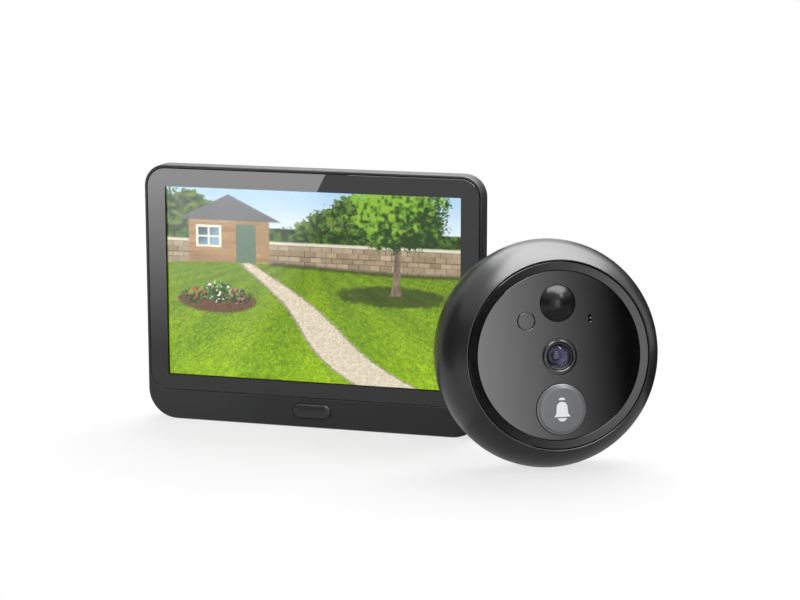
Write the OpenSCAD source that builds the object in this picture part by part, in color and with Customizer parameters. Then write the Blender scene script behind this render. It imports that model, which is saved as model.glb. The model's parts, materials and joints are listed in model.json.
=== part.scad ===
// Peephole door camera set: the indoor monitor and the round outdoor camera,
// standing side by side on one surface. Origin at the middle of the monitor's foot, +Z up.

/* [Monitor case] */
// Width of the monitor's front
mon_w = 106.6; // [102:0.2:130]
// Height of the monitor
mon_h = 79.2; // [78:0.2:100]
// Depth of the monitor from its front to its back
mon_d = 20; // [19:0.5:30]
// Corner radius at the top of the front
mon_r_top = 6.7; // [4:0.1:9]
// Corner radius at the bottom of the front
mon_r_low = 9.2; // [6:0.1:11]
// Depth of the straight band round the front frame
band_d = 5.5; // [5.3:0.1:7]
// Wall thickness of the two case halves
mon_wall = 1.6; // [1.2:0.1:2.2]
// Step between the front frame and the rear cover
cover_step = 0.8; // [0.4:0.1:1.2]
// How far the back of the rear cover draws in at each side
cover_taper_x = 8; // [4:0.5:10]
// How far the back of the rear cover draws in at the top
cover_taper_top = 7; // [3:0.5:8]

/* [Monitor front] */
// Rim of the frame left showing round the cover glass
glass_rim = 0.9; // [0.6:0.1:1.4]
// Thickness of the cover glass
glass_t = 1.1; // [0.7:0.1:1.5]
// Thickness of the adhesive frame under the glass
tape_t = 0.2; // [0.1:0.05:0.3]
// Width of the adhesive frame
tape_w = 2; // [1.5:0.1:2.5]
// Height of the matt strip below the glass
strip_h = 9.2; // [8.5:0.1:10]
// Thickness of the frame's front wall behind the glass
shelf_t = 1.2; // [1:0.1:1.5]
// Distance from the case's side to the lit picture
view_side = 6.8; // [6.4:0.1:8]
// Distance from the case's top to the lit picture
view_top = 6.7; // [6.4:0.1:8]
// Height of the picture's lower edge above the foot
view_low = 14.1; // [13.5:0.1:15]
// Border of the display panel at the sides and top of its picture
panel_border = 1.6; // [1.2:0.1:1.8]
// Border of the display panel under its picture
panel_foot = 2.4; // [2:0.1:2.8]
// Thickness of the display panel
panel_t = 1.6; // [1.2:0.1:2]
// Thickness of the backlight tray
tray_t = 1.6; // [1.2:0.1:1.8]

/* [Monitor wake key] */
// Width and height of the pill shaped key
key_size = [12, 4.3]; // [3.6:0.1:16]
// Height of the key's middle above the foot
key_y = 5.15; // [4.8:0.05:5.5]
// How far the key stands out of the strip
key_out = 0.7; // [0.6:0.05:1]
// Running gap round a key or button
key_gap = 0.15; // [0.1:0.01:0.25]
// Width of the retaining flange round the key
key_flange = 0.7; // [0.5:0.05:0.9]
// Thickness of that flange
key_flange_t = 0.8; // [0.6:0.05:1]
// Travel of the key
key_travel = 0.4; // [0.2:0.05:0.5]
// Body of the key's switch: width, height
key_switch_size = [6, 4.2]; // [4:0.1:7]
// Radius of a switch plunger
plunger_r = 1.2; // [0.9:0.05:1.4]
// How deep a plunger stands in its switch
plunger_seat = 0.4; // [0.3:0.05:0.5]

/* [Monitor inside] */
// Gap between the display tray and the main board
board_gap = 2.4; // [2:0.1:3.2]
// Distance from the case's side to the main board
board_side = 10.3; // [9.8:0.1:12]
// Distance from the case's top to the main board
board_top = 14.4; // [14:0.1:17]
// Height of the main board's lower edge above the foot
board_low = 2.8; // [2.7:0.05:3]
// Height of the lower board screws above the board's lower edge
board_screw_up = 14.7; // [14:0.1:15.5]
// Thickness of the circuit boards
board_t = 1.2; // [0.8:0.1:1.6]
// Width of the battery pouch
battery_w = 54; // [40:0.5:58]
// Thickness of the battery pouch
battery_t = 6; // [3:0.1:6.4]
// Gap from the battery to the camera cable socket below and to the loudspeaker above
battery_gap = 2; // [1:0.1:4]
// Shield can on the board: width, height, thickness
can_size = [26, 18, 1.8]; // [1:0.1:30]
// Radius of the loudspeaker
speaker_r = 6.4; // [5:0.1:6.8]
// Thickness of the loudspeaker
speaker_t = 4; // [3:0.1:5]
// Distance from the case's top to the loudspeaker's middle
speaker_down = 18.2; // [17.7:0.1:19.2]
// Radius of one hole of the sound grille
grille_r = 0.8; // [0.5:0.05:1]
// Pitch of the holes of the sound grille
grille_pitch = 2.8; // [2.4:0.1:3]
// Charging socket: width, depth along the plug, thickness
usb_size = [9, 7.4, 3.2]; // [3:0.1:10]
// Sheet thickness of the charging socket's shell
usb_shell = 0.3; // [0.2:0.05:0.4]
// Distance of the charging socket from the case's middle plane
usb_x = 18; // [14:0.5:20]
// Distance of the reset pin from the case's middle plane
reset_x = 18; // [14:0.5:20]
// Radius of the reset pin
reset_r = 0.6; // [0.5:0.05:0.8]
// Travel of the reset pin
reset_travel = 0.3; // [0.2:0.05:0.4]
// Body of the reset switch: width, height, thickness
reset_body = [5, 3.4, 3]; // [2:0.1:6]
// Camera cable socket: width, height
link_size = [11, 5]; // [4:0.1:14]
// Mouth of the camera cable socket: width, height, depth
link_mouth = [8.6, 2.6, 4]; // [2:0.1:10]
// Height of the camera cable socket's middle above the foot
link_y = 12; // [11:0.1:13]
// Antenna strip: width, height, thickness
antenna_size = [20, 6, 0.4]; // [0.2:0.1:22]
// Distance of the antenna strip from the case's middle plane
antenna_x = 23; // [21:0.5:24]

/* [Monitor fixings] */
// Distance of the two case screws from the lower pads, across the case
case_screw_in = 5.9; // [5.4:0.1:8]
// Height of the two case screws above the foot
case_screw_y = 6; // [5.5:0.1:6.5]
// Radius of the screw bosses
boss_r = 2.6; // [2.4:0.1:3]
// Thread radius of the small screws
screw_r = 1; // [0.8:0.05:1.2]
// Head radius of the small screws
screw_head_r = 1.8; // [1.6:0.05:2]
// Head height of the small screws
screw_head_t = 1; // [0.8:0.05:1.2]
// How deep a small screw bites
screw_bite = 2.4; // [2:0.1:2.6]
// Width of the hooks' slots in the rear cover
slot_w = 3.2; // [2.5:0.1:4]
// Length of the hooks' slots in the rear cover
slot_len = 10; // [8:0.5:12]
// Distance of the hooks' slots from the middle plane
slot_x = 33; // [32:0.5:34]
// Heights of the lower and upper hooks' slots above the foot
slot_y = [27, 46]; // [24:0.5:48]
// Radius of the rubber pads on the back
pad_r = 3; // [2:0.1:4]
// Thickness of the rubber pads
pad_t = 1; // [0.6:0.1:1.5]
// Depth of the pads' seats in the rear cover
pad_seat = 0.6; // [0.3:0.05:0.8]

/* [Camera placing] */
// Sideways distance of the camera's face from the monitor's middle
cam_x = 83.2; // [82:0.2:100]
// Distance of the camera's face in front of the monitor's front
cam_ahead = 30.9; // [28:0.1:60]
// How far the camera is turned to the right
cam_yaw = 30; // [20:0.5:40]
// How far the camera's face leans back, also the half angle of its resting band
cam_lean = 8.5; // [6:0.1:11]

/* [Camera housing] */
// Radius of the glossy face plate
face_r = 23.7; // [23.5:0.1:26]
// Thickness of the face plate
face_t = 1.5; // [1.2:0.1:2]
// Width of the bezel ring's slope
bezel_w = 2.5; // [2:0.1:3.5]
// Rise of the bezel ring's outer edge over the face plate
bezel_rise = 0.25; // [0.1:0.05:0.6]
// Width of the groove between bezel ring and housing
groove_w = 0.3; // [0.15:0.05:0.4]
// Greatest radius of the housing
cam_r = 32.6; // [32.2:0.1:36]
// Depth of the greatest radius behind the face plate
waist_d = 12.3; // [11.5:0.1:14]
// Length of the conical band that the camera rests on
rest_len = 4; // [3:0.1:6]
// Radius of the rounded edge behind the resting band
rear_r = 4; // [3:0.1:5]
// Angle through which that edge turns before the flat back
rear_turn = 60; // [50:1:70]
// Wall of the housing at its greatest radius
cam_wall = 4.2; // [3.6:0.1:4.4]
// Depth of the housing's lip behind the face plate
lip_d = 4.5; // [4:0.1:5]
// Width of the ledge under the face plate
ledge_w = 1; // [0.8:0.1:1.1]
// Thickness of the face gasket
gasket_t = 0.5; // [0.3:0.05:0.7]
// Thickness of the bezel ring's flange
flange_t = 1.4; // [1:0.1:1.8]
// Thickness of the back plate
back_t = 2.2; // [1.8:0.1:3]
// Radial gap between parts that drop into each other
seat_gap = 0.1; // [0.05:0.01:0.2]

/* [Camera face] */
// Height of the motion sensor's middle over the face's middle
pir_y = 14.6; // [14.2:0.1:15]
// Radius of the motion sensor's dome
pir_r = 5.15; // [4.8:0.05:5.4]
// Height of that dome over the face plate
pir_rise = 2.4; // [1.5:0.1:3]
// Wall of that dome
pir_wall = 0.6; // [0.4:0.05:0.8]
// Width of a retaining flange behind the face plate
retain_w = 0.9; // [0.7:0.05:1.1]
// Thickness of such a flange
retain_t = 1; // [0.8:0.05:1.2]
// Sideways place of the light window and of the microphone
side_x = 9.3; // [9:0.1:10]
// Height of the light window and of the microphone
side_y = 10; // [9.5:0.1:10.5]
// Radius of the light window
window_r = 2.6; // [2.2:0.05:2.8]
// Radius of the microphone's two holes
mic_hole_r = 0.45; // [0.3:0.05:0.6]
// Distance between the microphone's two holes
mic_pitch = 1.2; // [1:0.1:1.6]
// Height of the lens's middle over the face's middle
lens_y = -0.3; // [-0.6:0.1:0.2]
// Outer radius of the ring round the lens
lens_ring_r = 5.1; // [4.8:0.05:5.3]
// Width of the ring round the lens
lens_ring_w = 1.1; // [0.8:0.05:1.3]
// Height of the ring round the lens over the face plate
lens_ring_rise = 0.6; // [0.3:0.05:1]

/* [Camera lens unit] */
// Wall of the lens barrel
barrel_wall = 0.4; // [0.3:0.05:0.5]
// Length of the lens barrel
barrel_len = 9; // [8.5:0.1:10]
// How far the barrel's front lies behind the face plate
barrel_back = 0.3; // [0.2:0.05:0.6]
// Thickness of the front lens at its edge
lens_edge = 1; // [0.6:0.1:1.4]
// Rise of the front lens
lens_rise = 0.9; // [0.5:0.1:1.2]
// Stop behind the front lens
stop_t = 0.8; // [0.5:0.1:1.2]
// Radius of the light path through the barrel
path_r = 2; // [1.6:0.1:2.2]
// Thickness of the rear lens
rear_lens_t = 1.6; // [1.2:0.1:2]
// Side of the square lens holder
holder_w = 13; // [12:0.2:14]
// Depth of the holder's front behind the face plate
holder_front = 5; // [4.6:0.1:5.4]
// Thickness, height and length of the filter blade
blade_size = [0.5, 6, 12]; // [0.4:0.1:14]
// Gap round the filter blade
blade_gap = 0.15; // [0.1:0.01:0.2]
// Travel of the filter blade
blade_travel = 4.6; // [3:0.1:5]
// Free depth between barrel and filter blade
blade_clear = 0.9; // [0.8:0.05:1]
// Depth of the chamber over the image sensor
chamber_d = 1.2; // [1.1:0.05:1.3]
// Image sensor: width, height, thickness
sensor_size = [5.6, 4.6, 0.9]; // [0.6:0.1:7]
// Side of the sensor board
sensor_board_w = 24; // [23:0.2:26]
// Radius of the sensor board's spacers
spacer_r = 1.4; // [1:0.1:1.6]
// Filter motor: width, height, thickness
motor_size = [7, 2.2, 2.8]; // [1.5:0.1:9]

/* [Camera bell button] */
// Height of the bell button's middle under the face's middle
bell_drop = 15.1; // [14.8:0.1:15.5]
// Radius of the bell button
bell_r = 7.1; // [6.8:0.05:7.2]
// How far the bell button stands out of the face plate
bell_out = 1; // [0.8:0.05:1.5]
// Bevel at the edge of the bell button
bell_bevel = 0.5; // [0.3:0.05:0.7]
// Travel of the bell button
bell_travel = 0.6; // [0.3:0.05:0.7]
// Height of the bell symbol
bell_mark_h = 6.7; // [5:0.1:7.5]
// Depth of the bell symbol in the button
bell_mark_t = 0.3; // [0.2:0.05:0.4]
// Side of the bell switch's square body
bell_switch_w = 6; // [5.5:0.1:6.5]
// Height of the bell switch's body
bell_switch_t = 3.2; // [3:0.1:3.4]
// Radius of the button's stem
stem_r = 2.2; // [1.8:0.1:2.6]

/* [Camera inside] */
// Gap between the bezel ring's flange and the camera board
board_stand = 1.9; // [1.7:0.1:2.2]
// Depth from the camera board's back to the sensor board
sensor_back = 3.4; // [3.3:0.05:3.5]
// Distance of the three screw posts' middles from the housing's bore
post_in = 3.4; // [3.2:0.1:3.8]
// Radius of the motion sensor's can
can_r = 4.1; // [3.8:0.1:4.3]
// Height of the motion sensor's can
can_h = 4; // [3.6:0.1:4.2]
// Radius of the infrared lamp
lamp_r = 1.5; // [1.2:0.1:1.8]
// Height of the infrared lamp
lamp_h = 4.6; // [4.2:0.1:4.8]
// Outer radius of the microphone's boot
boot_r = 2.4; // [2:0.1:2.6]
// Microphone: width, height, thickness
mic_size = [3.6, 3, 1.1]; // [0.8:0.1:4]
// Chip on the camera board: width, height, thickness
chip_size = [7, 7, 1.2]; // [0.8:0.1:8]
// Radius of the chime loudspeaker
chime_r = 6.6; // [5.5:0.1:7]
// Thickness of the chime loudspeaker
chime_t = 3; // [2.4:0.1:3.2]
// Gap between the chime loudspeaker and the housing's bore
chime_gap = 2.5; // [1.5:0.1:3.5]
// Camera cable plug seat: width, height, thickness
plug_size = [6, 4, 1.1]; // [0.8:0.1:6.5]

// Radius of one sound hole in the housing
sound_r = 0.7; // [0.5:0.05:0.9]
// Sound holes on each side of the housing's lowest line
sound_count = 4; // [2:1:5]
// Angle from the lowest line to the first sound hole
sound_from = 18; // [15:1:20]
// Angle between two sound holes
sound_step = 6; // [5:1:8]

/* [Camera door stud] */
// Radius of the threaded stud
stud_r = 5.8; // [5.6:0.1:6.2]
// Radius of the cable bore through the stud
stud_bore = 4.2; // [3.5:0.1:4.6]
// Length of the stud behind the gasket
stud_len = 14; // [10:0.5:15]
// Radius of the stud's flange
stud_flange_r = 9; // [8.5:0.1:10]
// Thickness of the flange, and of the door gasket beside it
gasket_door_t = 1.5; // [1:0.1:2]
// Thickness of the nut inside the back plate
nut_t = 2.2; // [2:0.1:2.4]
// Width across the flats of that nut
nut_af = 18; // [17.5:0.1:18.5]
// Inner and outer radius of the door gasket
gasket_door_r = [13, 21]; // [11:0.5:21.5]

/* [Hidden] */
$fn = 96;
// Small overshoot that lets cuts break through
cut = 1;

// Monitor depths, from the front towards the back, as negative heights
tape_z = -glass_t;
shelf_z = tape_z - tape_t;
shelf_back = shelf_z - shelf_t;
panel_z = shelf_z;
tray_z = panel_z - panel_t;
board_z = tray_z - tray_t - board_gap;
board_back = board_z - board_t;
cover_z = -band_d;
back_in_z = -mon_d + mon_wall;
glass_low = strip_h;
panel_w = mon_w - 2 * (view_side - panel_border);
panel_low = view_low - panel_foot;
panel_h = mon_h - view_top + panel_border - panel_low;
key_flange_z = shelf_back - key_gap;
key_back = key_flange_z - key_flange_t;
key_switch_z = key_back - key_travel - key_gap;
port_z = board_back - usb_size[2] / 2;
reset_z = board_back - reset_body[2] / 2;
reset_low = board_low + reset_travel + key_gap;
board_w = mon_w - 2 * board_side;
board_h = mon_h - board_top - board_low;
post_x = board_w / 2 - boss_r - seat_gap;
post_low = board_low + board_screw_up;
post_high = board_low + board_h - boss_r;
posts = [for (x = [-post_x, post_x], y = [post_low, post_high]) [x, y]];
speaker_y = mon_h - speaker_down;
battery_low = link_y + link_size[1] / 2 + battery_gap;
battery_h = speaker_y - speaker_r - battery_gap - battery_low;
battery_y = battery_low + battery_h / 2;
pad_x = mon_w / 2 - cover_step - cover_taper_x - pad_r - mon_wall;
pad_y = [mon_wall + pad_r + 2 * mon_wall, mon_h - cover_step - cover_taper_top - pad_r - mon_wall];
case_screw_x = pad_x - case_screw_in;
case_head_z = cover_z - mon_wall;

// Camera heights over the face plate's front, negative towards the door
bezel_r = face_r + bezel_w;
lip_r = bezel_r + groove_w;
cam_bore = cam_r - cam_wall;
ledge_z = -face_t - gasket_t;
flange_z = -lip_d - flange_t;
cam_board_z = flange_z - board_stand;
cam_board_back = cam_board_z - board_t;
sensor_board_z = cam_board_back - sensor_back;
band_z = -waist_d - rest_len;
band_r = cam_r - rest_len * tan(cam_lean);
housing_back = band_z + rear_r * (sin(cam_lean) - sin(rear_turn));
back_in = housing_back + back_t;
gasket_z = housing_back - gasket_door_t;
// The shoulder is an arc from the lip to the greatest radius
shoulder_run = cam_r - lip_r - groove_w;
shoulder_fall = waist_d + bezel_rise;
shoulder_r = (pow(shoulder_run, 2) + pow(shoulder_fall, 2)) / (2 * shoulder_run);
// Height of the face's middle that sets the conical band on the floor
cam_z = waist_d * sin(cam_lean) + cam_r * cos(cam_lean);
post_angles = [90, 210, 330];
post_ring = cam_bore - post_in;
chime_drop = cam_bore - chime_r - chime_gap;
barrel_r = lens_ring_r - lens_ring_w - seat_gap;
barrel_bore = barrel_r - barrel_wall;
barrel_back_z = -barrel_back - barrel_len;
blade_z = barrel_back_z - blade_clear;
bell_flange_z = -face_t - key_gap;
bell_stem_z = bell_flange_z - retain_t - bell_travel - key_gap;
bell_switch_z = cam_board_z + bell_switch_t;
spacer_at = sensor_board_w / 2 - spacer_r - seat_gap;

// Face frames: x right, y up, z out of the front
module monitor() {
    translate([0, -mon_d / 2, 0]) rotate([90, 0, 0]) children();
}

module camera() {
    translate([cam_x, -mon_d / 2 - cam_ahead, cam_z]) rotate([90 - cam_lean, 0, cam_yaw]) children();
}

// A slab whose front lies at the given height
module slab(front, thick) {
    translate([0, 0, front - thick]) linear_extrude(thick) children();
}

// A box centred on a point of the face, with its front at the given height
module block(size, at, front) {
    translate([at[0] - size[0] / 2, at[1] - size[1] / 2, front - size[2]]) cube(size);
}

// A round rod between two heights
module rod(r, at, front, back) {
    translate([at[0], at[1], back]) cylinder(r = r, h = front - back);
}

// Rectangle with its own corner radii at the bottom and at the top
module round_box(w, low, high, r_low, r_high) {
    translate([-w / 2 + r_low, low]) square([w - 2 * r_low, high - low]);
    translate([-w / 2 + r_high, low + r_low]) square([w - 2 * r_high, high - low - r_low]);
    translate([-w / 2, low + r_low]) square([w, high - low - r_low - r_high]);
    for (s = [-1, 1]) {
        translate([s * (w / 2 - r_low), low + r_low]) circle(r_low);
        translate([s * (w / 2 - r_high), high - r_high]) circle(r_high);
    }
}

module case_outline(inset) {
    round_box(mon_w - 2 * inset, inset, mon_h - inset, mon_r_low - inset, mon_r_top - inset);
}

module glass_outline(inset) {
    rim = glass_rim + inset;
    corner = mon_r_top - rim;
    round_box(mon_w - 2 * rim, glass_low + inset, mon_h - rim, corner, corner);
}

module pill(size, grow) {
    r = size[1] / 2 + grow;
    run = size[0] - size[1];
    translate([-run / 2, key_y - r]) square([run, 2 * r]);
    for (s = [-1, 1]) translate([s * run / 2, key_y]) circle(r);
}

// Small screw whose head's seat lies at the given height, driven towards the front
module screw_forward(at, seat, reach) {
    rod(screw_r, at, seat + reach, seat);
    rod(screw_head_r, at, seat, seat - screw_head_t);
}

// Small screw driven towards the back
module screw_backward(at, seat, reach) {
    rod(screw_head_r, at, seat + screw_head_t, seat);
    rod(screw_r, at, seat, seat - reach);
}

// Tapered body of the rear cover, drawn in by a wall, flush with the foot
module cover_body(inset) {
    half = mon_w / 2 - cover_step - inset;
    top = mon_h - cover_step - inset;
    back = -mon_d + inset;
    intersection() {
        slab(cover_z, mon_d - band_d) case_outline(cover_step + inset);
        translate([0, mon_h, 0]) rotate([90, 0, 0]) linear_extrude(mon_h)
            polygon([[-half, cover_z], [half, cover_z], [half - cover_taper_x, back],
                [-half + cover_taper_x, back]]);
        translate([-mon_w / 2, 0, 0]) rotate([90, 0, 90]) linear_extrude(mon_w)
            polygon([[0, cover_z], [top, cover_z], [top - cover_taper_top, back], [0, back]]);
    }
}

// The foot is carried down to the front frame's own lower edge
module cover_foot() {
    run = mon_w - 2 * mon_r_low;
    translate([-run / 2, 0, -mon_d]) cube([run, mon_wall, mon_d - band_d]);
}

case_screws_at = [for (s = [-1, 1]) [s * case_screw_x, case_screw_y]];

module front_frame() {
    color("#2b2c2e") monitor() {
        difference() {
            slab(0, band_d) case_outline(0);
            slab(cut, cut + glass_t + tape_t) glass_outline(0);
            slab(cut, cut + band_d) translate([-panel_w / 2 - seat_gap, panel_low - seat_gap])
                square([panel_w + 2 * seat_gap, panel_h + 2 * seat_gap]);
            slab(shelf_back, band_d) case_outline(mon_wall);
            slab(cut, cut + band_d) pill(key_size, key_gap);
        }
        for (at = case_screws_at) difference() {
            rod(boss_r, at, shelf_back, cover_z);
            rod(screw_r, at, shelf_back + cut, cover_z - cut);
        }
    }
}

module cover_glass() {
    color("#17181a") monitor() slab(0, glass_t) glass_outline(seat_gap);
}

module glass_tape() {
    color("#202020") monitor() slab(tape_z, tape_t) difference() {
        glass_outline(seat_gap);
        translate([-panel_w / 2, panel_low]) square([panel_w, panel_h]);
    }
}

module lcd_panel() {
    color("#5f7a3d") monitor() slab(panel_z, panel_t) translate([-panel_w / 2, panel_low])
        square([panel_w, panel_h]);
}

module backlight_tray() {
    color("#b9bcc0") monitor() slab(tray_z, tray_t) translate([-panel_w / 2, panel_low])
        square([panel_w, panel_h]);
}

module wake_key() {
    color("#3a3b3d") monitor() {
        slab(key_out, key_out - key_flange_z) pill(key_size, 0);
        slab(key_flange_z, key_flange_t) pill(key_size, key_flange);
    }
}

module key_plunger() {
    color("#111111") monitor() rod(plunger_r, [0, key_y], key_back, key_switch_z - plunger_seat);
}

module key_switch() {
    color("#c8c8c4") monitor() difference() {
        block([key_switch_size[0], key_switch_size[1], key_switch_z - board_z], [0, key_y], key_switch_z);
        rod(plunger_r + key_gap, [0, key_y], key_switch_z + cut,
            key_switch_z - plunger_seat - key_travel - key_gap);
    }
}

module main_board() {
    color("#1f5a3a") monitor() difference() {
        slab(board_z, board_t) translate([-board_w / 2, board_low]) square([board_w, board_h]);
        for (at = case_screws_at) rod(screw_head_r + 2 * mon_wall, at, board_z + cut, board_back - cut);
        for (at = posts) rod(screw_r + seat_gap, at, board_z + cut, board_back - cut);
    }
}

module shield_can() {
    color("#c9ccd0") monitor() block(can_size, [0, battery_y], board_back);
}

module board_screws() {
    color("#9a9ca0") monitor() for (at = posts) screw_backward(at, board_z, board_t + screw_bite);
}

module battery_pack() {
    color("#8f98a3") monitor()
        block([battery_w, battery_h, battery_t], [0, battery_y], back_in_z + battery_t);
}

module speaker() {
    color("#303236") monitor() rod(speaker_r, [0, speaker_y], back_in_z + speaker_t, back_in_z);
}

module usb_socket() {
    color("#b4b7bb") monitor() translate([usb_x, 0, port_z]) difference() {
        translate([-usb_size[0] / 2, seat_gap, -usb_size[2] / 2])
            cube([usb_size[0], usb_size[1], usb_size[2]]);
        translate([-usb_size[0] / 2 + usb_shell, seat_gap - cut, -usb_size[2] / 2 + usb_shell])
            cube([usb_size[0] - 2 * usb_shell, usb_size[1] - usb_shell, usb_size[2] - 2 * usb_shell]);
    }
}

module reset_key() {
    color("#222222") monitor() translate([-reset_x, mon_wall + key_gap, reset_z]) rotate([-90, 0, 0])
        cylinder(r = reset_r, h = reset_low - mon_wall + plunger_seat);
}

module reset_switch() {
    color("#c8c8c4") monitor() difference() {
        translate([-reset_x - reset_body[0] / 2, reset_low, board_back - reset_body[2]])
            cube([reset_body[0], reset_body[1], reset_body[2]]);
        translate([-reset_x, reset_low - cut, reset_z]) rotate([-90, 0, 0])
            cylinder(r = reset_r + key_gap, h = cut + plunger_seat + reset_travel + 2 * key_gap);
    }
}

module link_socket() {
    color("#e6e2d6") monitor() difference() {
        block([link_size[0], link_size[1], board_back + mon_d], [0, link_y], board_back);
        block([link_mouth[0], link_mouth[1], link_mouth[2] + cut], [0, link_y], -mon_d + link_mouth[2]);
    }
}

module antenna() {
    color("#b98a3a") monitor()
        block(antenna_size, [-antenna_x, speaker_y], back_in_z + antenna_size[2]);
}

// Sound holes of the loudspeaker, in a round patch
grille_n = floor((speaker_r - grille_r) / grille_pitch);
grille_at = [for (i = [-grille_n:grille_n], j = [-grille_n:grille_n])
    if (norm([i, j]) <= grille_n) [i * grille_pitch, speaker_y + j * grille_pitch]];

module rear_cover() {
    tube_r = screw_head_r + seat_gap + mon_wall;
    color("#232426") monitor() difference() {
        union() {
            difference() {
                union() {
                    cover_body(0);
                    cover_foot();
                }
                cover_body(mon_wall);
                slab(cover_z + cut, cut) case_outline(cover_step + mon_wall);
            }
            for (at = case_screws_at) rod(tube_r, at, cover_z, back_in_z);
            for (at = posts) rod(boss_r, at, board_back, back_in_z);
        }
        for (at = case_screws_at) {
            rod(screw_r + seat_gap, at, cover_z + cut, case_head_z - cut);
            rod(screw_head_r + seat_gap, at, case_head_z, -mon_d - cut);
        }
        for (at = posts) rod(screw_r + seat_gap, at, board_back + cut, board_back - screw_bite - seat_gap);
        for (x = [-slot_x, slot_x], y = slot_y)
            block([slot_w, slot_len, mon_wall + 2 * cut], [x, y], back_in_z + cut);
        for (at = grille_at) rod(grille_r, at, back_in_z + cut, -mon_d - cut);
        for (x = [-pad_x, pad_x], y = pad_y) rod(pad_r + seat_gap, [x, y], -mon_d + pad_seat, -mon_d - cut);
        block([link_size[0] + 2 * seat_gap, link_size[1] + 2 * seat_gap, mon_wall + 2 * cut],
            [0, link_y], back_in_z + cut);
        translate([usb_x - usb_size[0] / 2 - seat_gap, -cut, port_z - usb_size[2] / 2 - seat_gap])
            cube([usb_size[0] + 2 * seat_gap, 2 * cut + 2 * mon_wall, usb_size[2] + 2 * seat_gap]);
        translate([-reset_x, -cut, reset_z]) rotate([-90, 0, 0])
            cylinder(r = reset_r + key_gap, h = 2 * cut + 2 * mon_wall);
    }
}

module case_screws() {
    color("#9a9ca0") monitor()
        for (at = case_screws_at) screw_forward(at, case_head_z, mon_wall + screw_bite);
}

module rear_pads() {
    color("#151515") monitor() for (x = [-pad_x, pad_x], y = pad_y)
        rod(pad_r, [x, y], -mon_d + pad_seat, -mon_d + pad_seat - pad_t);
}

// Section of the camera housing: lip and arched shoulder, conical resting band, rounded rear edge
module housing_section() {
    intersection() {
        translate([cam_r - shoulder_r, -waist_d]) circle(shoulder_r);
        difference() {
            translate([lip_r, -waist_d]) square([cam_r - lip_r, shoulder_fall]);
            translate([0, -waist_d]) square([cam_bore, waist_d - lip_d]);
        }
    }
    polygon([[cam_bore, -waist_d], [cam_r, -waist_d], [band_r, band_z], [cam_bore, band_z]]);
    intersection() {
        translate([band_r - rear_r * cos(cam_lean), band_z + rear_r * sin(cam_lean)]) circle(rear_r);
        translate([cam_bore, housing_back]) square([band_r - cam_bore, band_z - housing_back]);
    }
}

post_at = [for (a = post_angles) post_ring * [cos(a), sin(a)]];
sound_angles = [for (s = [-1, 1], i = [0:sound_count - 1]) 270 + s * (sound_from + i * sound_step)];
sound_z = band_z + sound_r + mon_wall / 2;

// Section of a screw post, with its web to the housing's wall
module post_section() {
    web = [cam_bore + mon_wall / 2 - post_ring, 2 * boss_r];
    difference() {
        union() {
            translate([post_ring, 0]) circle(boss_r);
            translate([post_ring, -web[1] / 2]) square(web);
        }
        translate([post_ring, 0]) circle(screw_r + seat_gap);
    }
}

module camera_housing() {
    color("#3b3d40") camera() difference() {
        union() {
            rotate_extrude() housing_section();
            for (a = post_angles) rotate([0, 0, a]) slab(cam_board_back, cam_board_back - back_in)
                post_section();
        }
        for (a = sound_angles) rotate([0, 0, a]) translate([post_ring, 0, sound_z]) rotate([0, 90, 0])
            cylinder(r = sound_r, h = cam_r - post_ring + cut);
    }
}

module bezel_ring() {
    leg_r = bezel_w / 2;
    color("#1c1d1f") camera() {
        rotate_extrude() polygon([[face_r + seat_gap, 0], [bezel_r, bezel_rise], [bezel_r, -lip_d],
            [cam_bore - seat_gap, -lip_d], [cam_bore - seat_gap, flange_z], [face_r - ledge_w, flange_z],
            [face_r - ledge_w, ledge_z], [face_r + seat_gap, ledge_z]]);
        for (a = post_angles) rotate([0, 0, a + 180])
            rod(leg_r, [cam_bore - seat_gap - groove_w - leg_r, 0], flange_z + cut, cam_board_z);
    }
}

module face_plate() {
    color("#0c0d0f") camera() difference() {
        rod(face_r, [0, 0], 0, -face_t);
        rod(pir_r, [0, pir_y], cut, -face_t - cut);
        rod(lens_ring_r, [0, lens_y], cut, -face_t - cut);
        rod(bell_r + key_gap, [0, -bell_drop], cut, -face_t - cut);
        rod(window_r, [-side_x, side_y], cut, -face_t - cut);
        for (s = [-1, 1]) rod(mic_hole_r, [side_x, side_y + s * mic_pitch / 2], cut, -face_t - cut);
    }
}

module face_gasket() {
    color("#101010") camera() difference() {
        rod(face_r, [0, 0], -face_t, ledge_z);
        rod(face_r - ledge_w, [0, 0], -face_t + cut, ledge_z - cut);
    }
}

// Domed cap on a neck with a flange behind the face plate, hollow to its wall
module dome_section(neck, wall) {
    dome = (pow(neck, 2) + pow(pir_rise, 2)) / (2 * pir_rise);
    intersection() {
        translate([0, pir_rise - dome]) circle(dome - wall);
        square([neck - wall, pir_rise]);
    }
    translate([0, -face_t - retain_t]) square([neck - wall, face_t + retain_t]);
}

module pir_lens() {
    neck = pir_r - seat_gap;
    color("#1a1b1d") camera() translate([0, pir_y, 0]) rotate_extrude() difference() {
        union() {
            dome_section(neck, 0);
            translate([0, -face_t - retain_t]) square([pir_r + retain_w, retain_t]);
        }
        dome_section(neck, pir_wall);
    }
}

module pir_sensor() {
    color("#b7babd") camera() {
        rod(can_r, [0, pir_y], cam_board_z + can_h, cam_board_z);
        rod(can_r + pir_wall, [0, pir_y], cam_board_z + pir_wall, cam_board_z);
    }
}

module light_window() {
    color("#141517") camera() {
        rod(window_r - seat_gap, [-side_x, side_y], 0, -face_t);
        rod(window_r + retain_w, [-side_x, side_y], -face_t, -face_t - retain_t);
    }
}

module ir_lamp() {
    color("#3c2a4a") camera() {
        rod(lamp_r, [-side_x, side_y], cam_board_z + lamp_h - lamp_r, cam_board_z);
        translate([-side_x, side_y, cam_board_z + lamp_h - lamp_r]) sphere(lamp_r);
    }
}

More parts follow.
